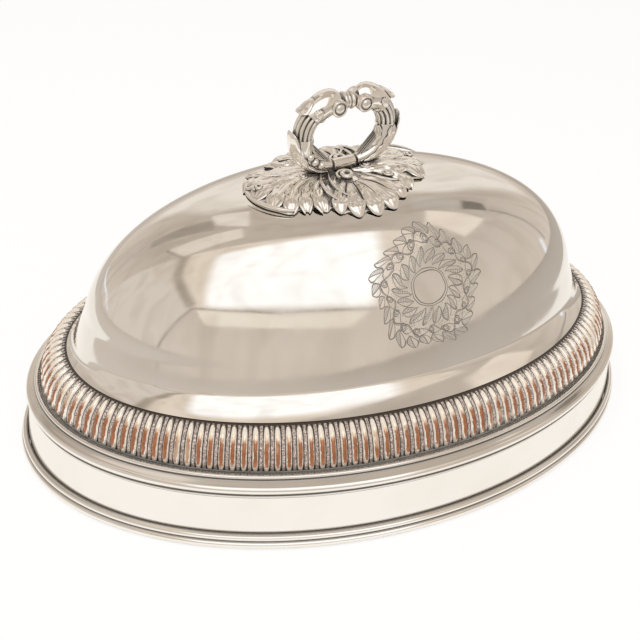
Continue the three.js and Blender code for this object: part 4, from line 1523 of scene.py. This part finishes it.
row = times(tree, split.outputs["Y"], len(FLUTE_ROWS) - 1)
# Painted shade under the dome's rim and at the lobes' lower ends
above_flute = ramp(tree, row, TOP_SEAT_ROW - 0.6, TOP_SEAT_ROW)
at_ends = maths(tree, "MAXIMUM", above_flute, ramp(tree, row, 0.6, 0.1))
print("columns and rows on a flute:", len(FLUTE_COLUMNS), len(FLUTE_ROWS))

# %% Colours of the flutes
COPPER = (0.47, 0.19, 0.085, 1)
BROWN_COPPER = (0.30, 0.125, 0.065, 1)
CREAM = (1.0, 0.96, 0.88, 1)
THIN_SILVER = (0.82, 0.60, 0.33, 1)
MATTED = (0.92, 0.82, 0.79, 1)
MATTED_HOLLOW = (0.3, 0.25, 0.225, 1)
# Grime and painted shade in the creases and at the ends of the flutes
GRIME_AND_SHADE = (0.045, 0.035, 0.028, 1)
# Along the middle of a lobe the silver is rubbed to the copper in patches, and thin and yellowish beside them
worn_rise = plus(tree, rise, times(tree, ragged, 0.22))
worn_side = plus(tree, from_lobe, times(tree, ragged, 0.95))
worn_side = plus(tree, worn_side, times(tree, ramp(tree, rise, 0.34, 0.1), 0.22))
rubbed = times(tree, ramp(tree, worn_rise, 0.13, 0.2), ramp(tree, worn_rise, 0.9, 0.78))
rubbed = times(tree, rubbed, ramp(tree, worn_side, 0.5, 0.36))
rubbed = times(tree, rubbed, ramp(tree, patches.outputs["Fac"], 0.3, 0.42))
thinned = times(tree, ramp(tree, worn_side, 0.42, 0.2), ramp(tree, worn_rise, 0.99, 0.86))
lobe_colour = mix_colours(tree, times(tree, thinned, 0.55), CREAM, THIN_SILVER)
bare_copper = mix_colours(tree, ramp(tree, blotches.outputs["Fac"], 0.35, 0.62), COPPER, BROWN_COPPER)
lobe_colour = mix_colours(tree, rubbed, lobe_colour, bare_copper)
grain = node(tree, "ShaderNodeTexVoronoi", Scale=950.0)
link(tree, place_of, grain.inputs["Vector"])
reed_colour = mix_colours(tree, ramp(tree, grain.outputs["Distance"], 0.25, 0.6), MATTED, MATTED_HOLLOW)
# The creases and the ends of the flutes get the painted shade
face_colour = mix_colours(tree, is_reed, GRIME_AND_SHADE, reed_colour)
face_colour = mix_colours(tree, is_lobe, face_colour, lobe_colour)
face_colour = mix_colours(tree, at_ends, face_colour, GRIME_AND_SHADE)
link(tree, face_colour, shader.inputs["Base Color"])
print("nodes in the flutes' colours:", len(tree.nodes))

# %% Shine of the flutes
# Metallic share of the creases and ends, which are painted dark as grime and shade, and what bare metal adds
# to it: low, so that the flutes show more of their own colour than of the room
GRIME_AND_SHADE_METAL = 0.1
BARE_METAL = 0.4
off_crease = maths(tree, "MAXIMUM", is_lobe, is_reed)
bare = times(tree, off_crease, minus(tree, 1.0, at_ends))
link(tree, plus(tree, times(tree, bare, BARE_METAL), GRIME_AND_SHADE_METAL), shader.inputs["Metallic"])
dullness = plus(tree, times(tree, rubbed, 0.1), 0.1)
link(tree, plus(tree, dullness, times(tree, is_reed, 0.2)), shader.inputs["Roughness"])
stipple = node(tree, "ShaderNodeBump", Strength=0.6, Distance=0.0003)
link(tree, times(tree, grain.outputs["Distance"], is_reed), stipple.inputs["Height"])
link(tree, stipple.outputs["Normal"], shader.inputs["Normal"])
give_finish([band], worn_silver)
line_inside(band, 60, tinned)
print("faces in the band:", len(band.data.polygons))

# %% [markdown]
# ## Studio
#
# A mirror shows its surroundings, so the look of the cover depends on the room. This room is a world made of
# soft-edged cards: a broad white diffuser in front, lighter boards higher up, warm grey walls, dark seams
# between them and soft folds over all. The cover mirrors it, and to the camera the world is plain white.

# %% Cards of the room
# Four corners as azimuth and elevation in degrees, either way round, then softness in degrees and colour.
# Azimuth 0 is in front and 90 to the right.
CARDS = [
    ("wall behind", [(120, 6), (192, 6), (192, 50), (120, 44)], 6, (0.86, 0.80, 0.73, 1)),
    ("far left wall", [(-87, 56), (-42, 24), (-58, -8), (-120, -8)], 2, (0.70, 0.63, 0.56, 1)),
    ("diffuser frame", [(-87, 56), (-42, 24), (21, 14), (56, 44)], 1, (0.80, 0.70, 0.60, 1)),
    ("diffuser", [(-58, 63), (-36, 25), (18, 15.5), (44, 59)], 3.5, (1.18, 1.18, 1.18, 1)),
    ("shelf under the diffuser", [(-40, 23), (-34, 15), (11, 10), (17, 14)], 0.8, (0.88, 0.80, 0.70, 1)),
    ("light board", [(-114, 51), (-88, 56), (-81, 78), (-138, 76)], 0.8, (0.78, 0.70, 0.62, 1)),
    ("dark beam", [(-140, 35), (-131, 39), (-138, 66), (-160, 57)], 1.5, (0.40, 0.35, 0.30, 1)),
    ("light box", [(-164, 51), (-149, 63), (-146, 77), (-177, 59)], 0.8, (0.82, 0.75, 0.68, 1)),
    ("right board", [(88, 55), (63, 50), (60, 32), (80, 34)], 1.2, (0.86, 0.76, 0.66, 1)),
    ("right beam", [(104, 44), (89, 44), (90, 35), (99, 37)], 0.8, (0.22, 0.19, 0.16, 1)),
    ("grey right wall", [(123, 52), (93, 58), (88, 46), (103, 44)], 2, (0.56, 0.51, 0.46, 1)),
]
# Seams between the cards: points, width in degrees and colour
SEAMS = [
    ([(-42, 24), (-47, 16), (-53, 3), (-58, -8)], 1.3, (0.38, 0.33, 0.28, 1)),
    ([(-43, 25), (-66, 43), (-88, 57)], 4.5, (0.42, 0.36, 0.30, 1)),
    ([(-42, 24), (-10, 20), (19, 14.5)], 0.9, (0.36, 0.31, 0.27, 1)),
    ([(-115, 50), (-88, 55.5)], 1.2, (0.24, 0.20, 0.17, 1)),
    ([(-140, 35), (-131, 18), (-128, 2)], 2.0, (0.52, 0.47, 0.42, 1)),
    ([(91, 34), (92, 20), (93, 2)], 1.4, (0.36, 0.32, 0.28, 1)),
    ([(-150, -1), (-120, 5), (-106, 1)], 1.6, (0.92, 0.94, 1.02, 1)),
    ([(88, -2), (89, 5)], 2.5, (0.95, 0.97, 1.04, 1)),
]
WALL_LOW = (0.68, 0.605, 0.53, 1)
WALL_HIGH = (0.54, 0.475, 0.41, 1)
# What the soft folds of the cloths take away at their darkest, and how they are turned and stretched
FOLD_SHADE = (0.86, 0.845, 0.83, 1)
FOLD_TURN = (0, 0.25, 0.5)
FOLD_SCALE = (3.4, 3.4, 1.1)
WHITE = (1, 1, 1, 1)


def toward(azimuth, elevation):
    turn = math.radians(azimuth)
    rise = math.radians(elevation)
    return Vector((math.sin(turn) * math.cos(rise), -math.cos(turn) * math.cos(rise), math.sin(rise)))


def card_mask(tree, direction, corners, softness):
    """1 inside a flat four-sided card seen from the middle of the room, 0 outside."""
    middle = sum(corners, Vector()).normalized()
    mask = None
    for first, second in zip(corners, [*corners[1:], corners[0]]):
        inward = first.cross(second).normalized()
        if inward.dot(middle) < 0:
            inward.negate()
        across = node(tree, "ShaderNodeVectorMath", operation="DOT_PRODUCT")
        across.inputs[1].default_value = inward
        link(tree, direction, across.inputs[0])
        half = math.sin(math.radians(softness)) / 2
        side = ramp(tree, across.outputs["Value"], -half, half)
        mask = times(tree, mask, side) if mask else side
    return mask


print("cards and seams in the room:", len(CARDS), len(SEAMS))

# %% The room as a world
world = bpy.data.worlds.new("room")
bpy.context.scene.world = world
world.use_nodes = True
tree = world.node_tree
sky = tree.nodes["Background"]
place_of = node(tree, "ShaderNodeTexCoord")
direction = place_of.outputs["Generated"]
parts = node(tree, "ShaderNodeSeparateXYZ")
link(tree, direction, parts.inputs["Vector"])
room_colour = mix_colours(tree, ramp(tree, parts.outputs["Z"], 0, 0.7), WALL_LOW, WALL_HIGH)
for title, corners, softness, colour in CARDS:
    mask = card_mask(tree, direction, [toward(*corner) for corner in corners], softness)
    room_colour = mix_colours(tree, mask, room_colour, colour)
for points, width, colour in SEAMS:
    for first, second in zip(points, points[1:]):
        start = toward(*first)
        end = toward(*second)
        side = start.cross(end).normalized() * math.radians(width / 2)
        corners = [start + side, end + side, end - side, start - side]
        mask = card_mask(tree, direction, corners, width / 2)
        room_colour = mix_colours(tree, mask, room_colour, colour)
stretch = node(tree, "ShaderNodeMapping")
stretch.inputs["Rotation"].default_value = FOLD_TURN
stretch.inputs["Scale"].default_value = FOLD_SCALE
link(tree, direction, stretch.inputs["Vector"])
folds = node(tree, "ShaderNodeTexNoise", Scale=1.6, Detail=2.5, Roughness=0.5, Distortion=0.9)
link(tree, stretch.outputs["Vector"], folds.inputs["Vector"])
shaded = mix_colours(tree, ramp(tree, folds.outputs["Fac"], 0.56, 0.3), WHITE, FOLD_SHADE)
with_folds = node(tree, "ShaderNodeVectorMath", operation="MULTIPLY")
link(tree, room_colour, with_folds.inputs[0])
link(tree, shaded, with_folds.inputs[1])
room_colour = with_folds.outputs["Vector"]
rays = node(tree, "ShaderNodeLightPath")
link(tree, mix_colours(tree, rays.outputs["Is Camera Ray"], room_colour, WHITE), sky.inputs["Color"])
sky.inputs["Strength"].default_value = 1.0
print("nodes in the room:", len(tree.nodes))

# %% [markdown]
# ## Floor
#
# The cover stands on a white sheet that ends not far away on a darker table, and the skirt and foot mirror
# both. To the camera the floor is plain white, but a share of its own shading stays, so that it keeps the
# shadow of the cover. From below it isn't seen, so that a view from there shows the inside of the cover.

# %% Floor
FLOOR_SIZE = 12
# Edges of the white sheet, and where its darkening with distance begins and ends, in metres
SHEET_LEFT = -0.8
SHEET_RIGHT = 0.62
SHEET_FRONT = -0.34
SHEET_BACK = 0.6
SHEET_NEAR = 0.35
SHEET_FAR = 0.6
SHEET_NEAR_COLOUR = (1, 0.97, 0.93, 1)
SHEET_FAR_COLOUR = (0.87, 0.83, 0.78, 1)
TABLE_LEFT_COLOUR = (0.52, 0.46, 0.40, 1)
TABLE_RIGHT_COLOUR = (0.38, 0.33, 0.28, 1)
clear_selection()
bpy.ops.mesh.primitive_plane_add(size=FLOOR_SIZE)
floor = new_piece("floor")
floor_finish, tree, shader, place_of = new_material("white sheet on a pale table")
shader.inputs["Base Color"].default_value = (0.93, 0.93, 0.92, 1)
shader.inputs["Roughness"].default_value = 0.9
shader.inputs["Specular IOR Level"].default_value = 0.1
rays = node(tree, "ShaderNodeLightPath")
parts = node(tree, "ShaderNodeSeparateXYZ")
link(tree, place_of, parts.inputs["Vector"])
on_sheet = 1.0
for axis, low, high in (("X", SHEET_LEFT, SHEET_RIGHT), ("Y", SHEET_FRONT, SHEET_BACK)):
    after_low = ramp(tree, parts.outputs[axis], low - 0.01, low + 0.01)
    before_high = ramp(tree, parts.outputs[axis], high + 0.01, high - 0.01)
    on_sheet = times(tree, on_sheet, times(tree, after_low, before_high))
far = node(tree, "ShaderNodeVectorMath", operation="LENGTH")
link(tree, place_of, far.inputs[0])
# In reflections the floor glows with these colours: the sheet darkens away from the cover as painted fall-off
# of the light, and the table is darker to the right
darkening = ramp(tree, far.outputs["Value"], SHEET_NEAR, SHEET_FAR)
sheet = mix_colours(tree, darkening, SHEET_NEAR_COLOUR, SHEET_FAR_COLOUR)
table = mix_colours(tree, ramp(tree, parts.outputs["X"], -0.8, 0.8), TABLE_LEFT_COLOUR, TABLE_RIGHT_COLOUR)
seen_in_metal = mix_colours(tree, on_sheet, table, sheet)
glow = node(tree, "ShaderNodeEmission", Strength=1.0)
link(tree, mix_colours(tree, rays.outputs["Is Camera Ray"], seen_in_metal, WHITE), glow.inputs["Color"])
# The camera and the reflections see four parts of glowing colour and one part of the floor's own shading
seen = maths(tree, "MAXIMUM", rays.outputs["Is Camera Ray"], rays.outputs["Is Glossy Ray"])
blend = node(tree, "ShaderNodeMixShader")
link(tree, times(tree, seen, 0.8), blend.inputs["Fac"])
link(tree, shader.outputs["BSDF"], blend.inputs[1])
link(tree, glow.outputs["Emission"], blend.inputs[2])
sides = node(tree, "ShaderNodeNewGeometry")
clear = node(tree, "ShaderNodeBsdfTransparent")
one_sided = node(tree, "ShaderNodeMixShader")
from_below = times(tree, sides.outputs["Backfacing"], rays.outputs["Is Camera Ray"])
link(tree, from_below, one_sided.inputs["Fac"])
link(tree, blend.outputs["Shader"], one_sided.inputs[1])
link(tree, clear.outputs["BSDF"], one_sided.inputs[2])
link(tree, one_sided.outputs["Shader"], tree.nodes["Material Output"].inputs["Surface"])
floor.data.materials.append(floor_finish)
print("floor in metres:", FLOOR_SIZE)

# %% [markdown]
# ## Lamp and camera
#
# One broad soft lamp from above makes the faint shadow under the foot. It isn't seen in reflections, since
# the room already holds everything that the silver mirrors. The camera was fitted to the foot's ellipse, the
# shoulder lines, the tips of the flutes and the handle.

# %% Lamp for the shadow
LAMP_PLACE = (-0.4, -0.5, 2.6)
LAMP_FACING = Vector((-0.4, -0.5, 2.4))
lamp = bpy.data.lights.new("overhead_softbox", "AREA")
lamp.shape = "RECTANGLE"
lamp.size = 2.4
lamp.size_y = 2.0
lamp.energy = 40
softbox = bpy.data.objects.new("overhead_softbox", lamp)
bpy.context.scene.collection.objects.link(softbox)
softbox.location = LAMP_PLACE
softbox.rotation_euler = LAMP_FACING.to_track_quat("Z", "Y").to_euler()
softbox.visible_camera = False
softbox.visible_glossy = False
print("lamp in watts:", lamp.energy)

# %% Camera
CAMERA_PLACE = Vector((-0.2680, -0.6326, 0.5752))
CAMERA_RIGHT = Vector((0.9398, -0.3389, 0.0446))
CAMERA_UP = Vector((0.1658, 0.5662, 0.8074))
lens = bpy.data.cameras.new("camera")
lens.lens = 53.86
lens.sensor_width = 36
camera = bpy.data.objects.new("camera", lens)
bpy.context.scene.collection.objects.link(camera)
backward = CAMERA_RIGHT.cross(CAMERA_UP)
camera_turn = Matrix((CAMERA_RIGHT, CAMERA_UP, backward)).transposed().to_4x4()
camera.matrix_world = Matrix.Translation(CAMERA_PLACE) @ camera_turn
bpy.context.scene.camera = camera
bpy.context.scene.view_settings.view_transform = "Standard"
print("camera distance in metres:", round(CAMERA_PLACE.length, 3))

# %% Keep the sizes and finish
KEPT_NODES = {
    "foot_wire": tinned, "backing_plate": tinned, "threaded_stud": yellow_metal, "washer": yellow_metal,
    "wing_nut": yellow_metal,
}
for name, cad_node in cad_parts.items():
    give_finish([cad_node], KEPT_NODES.get(name, moulding_silver))
bpy.context.view_layer.update()
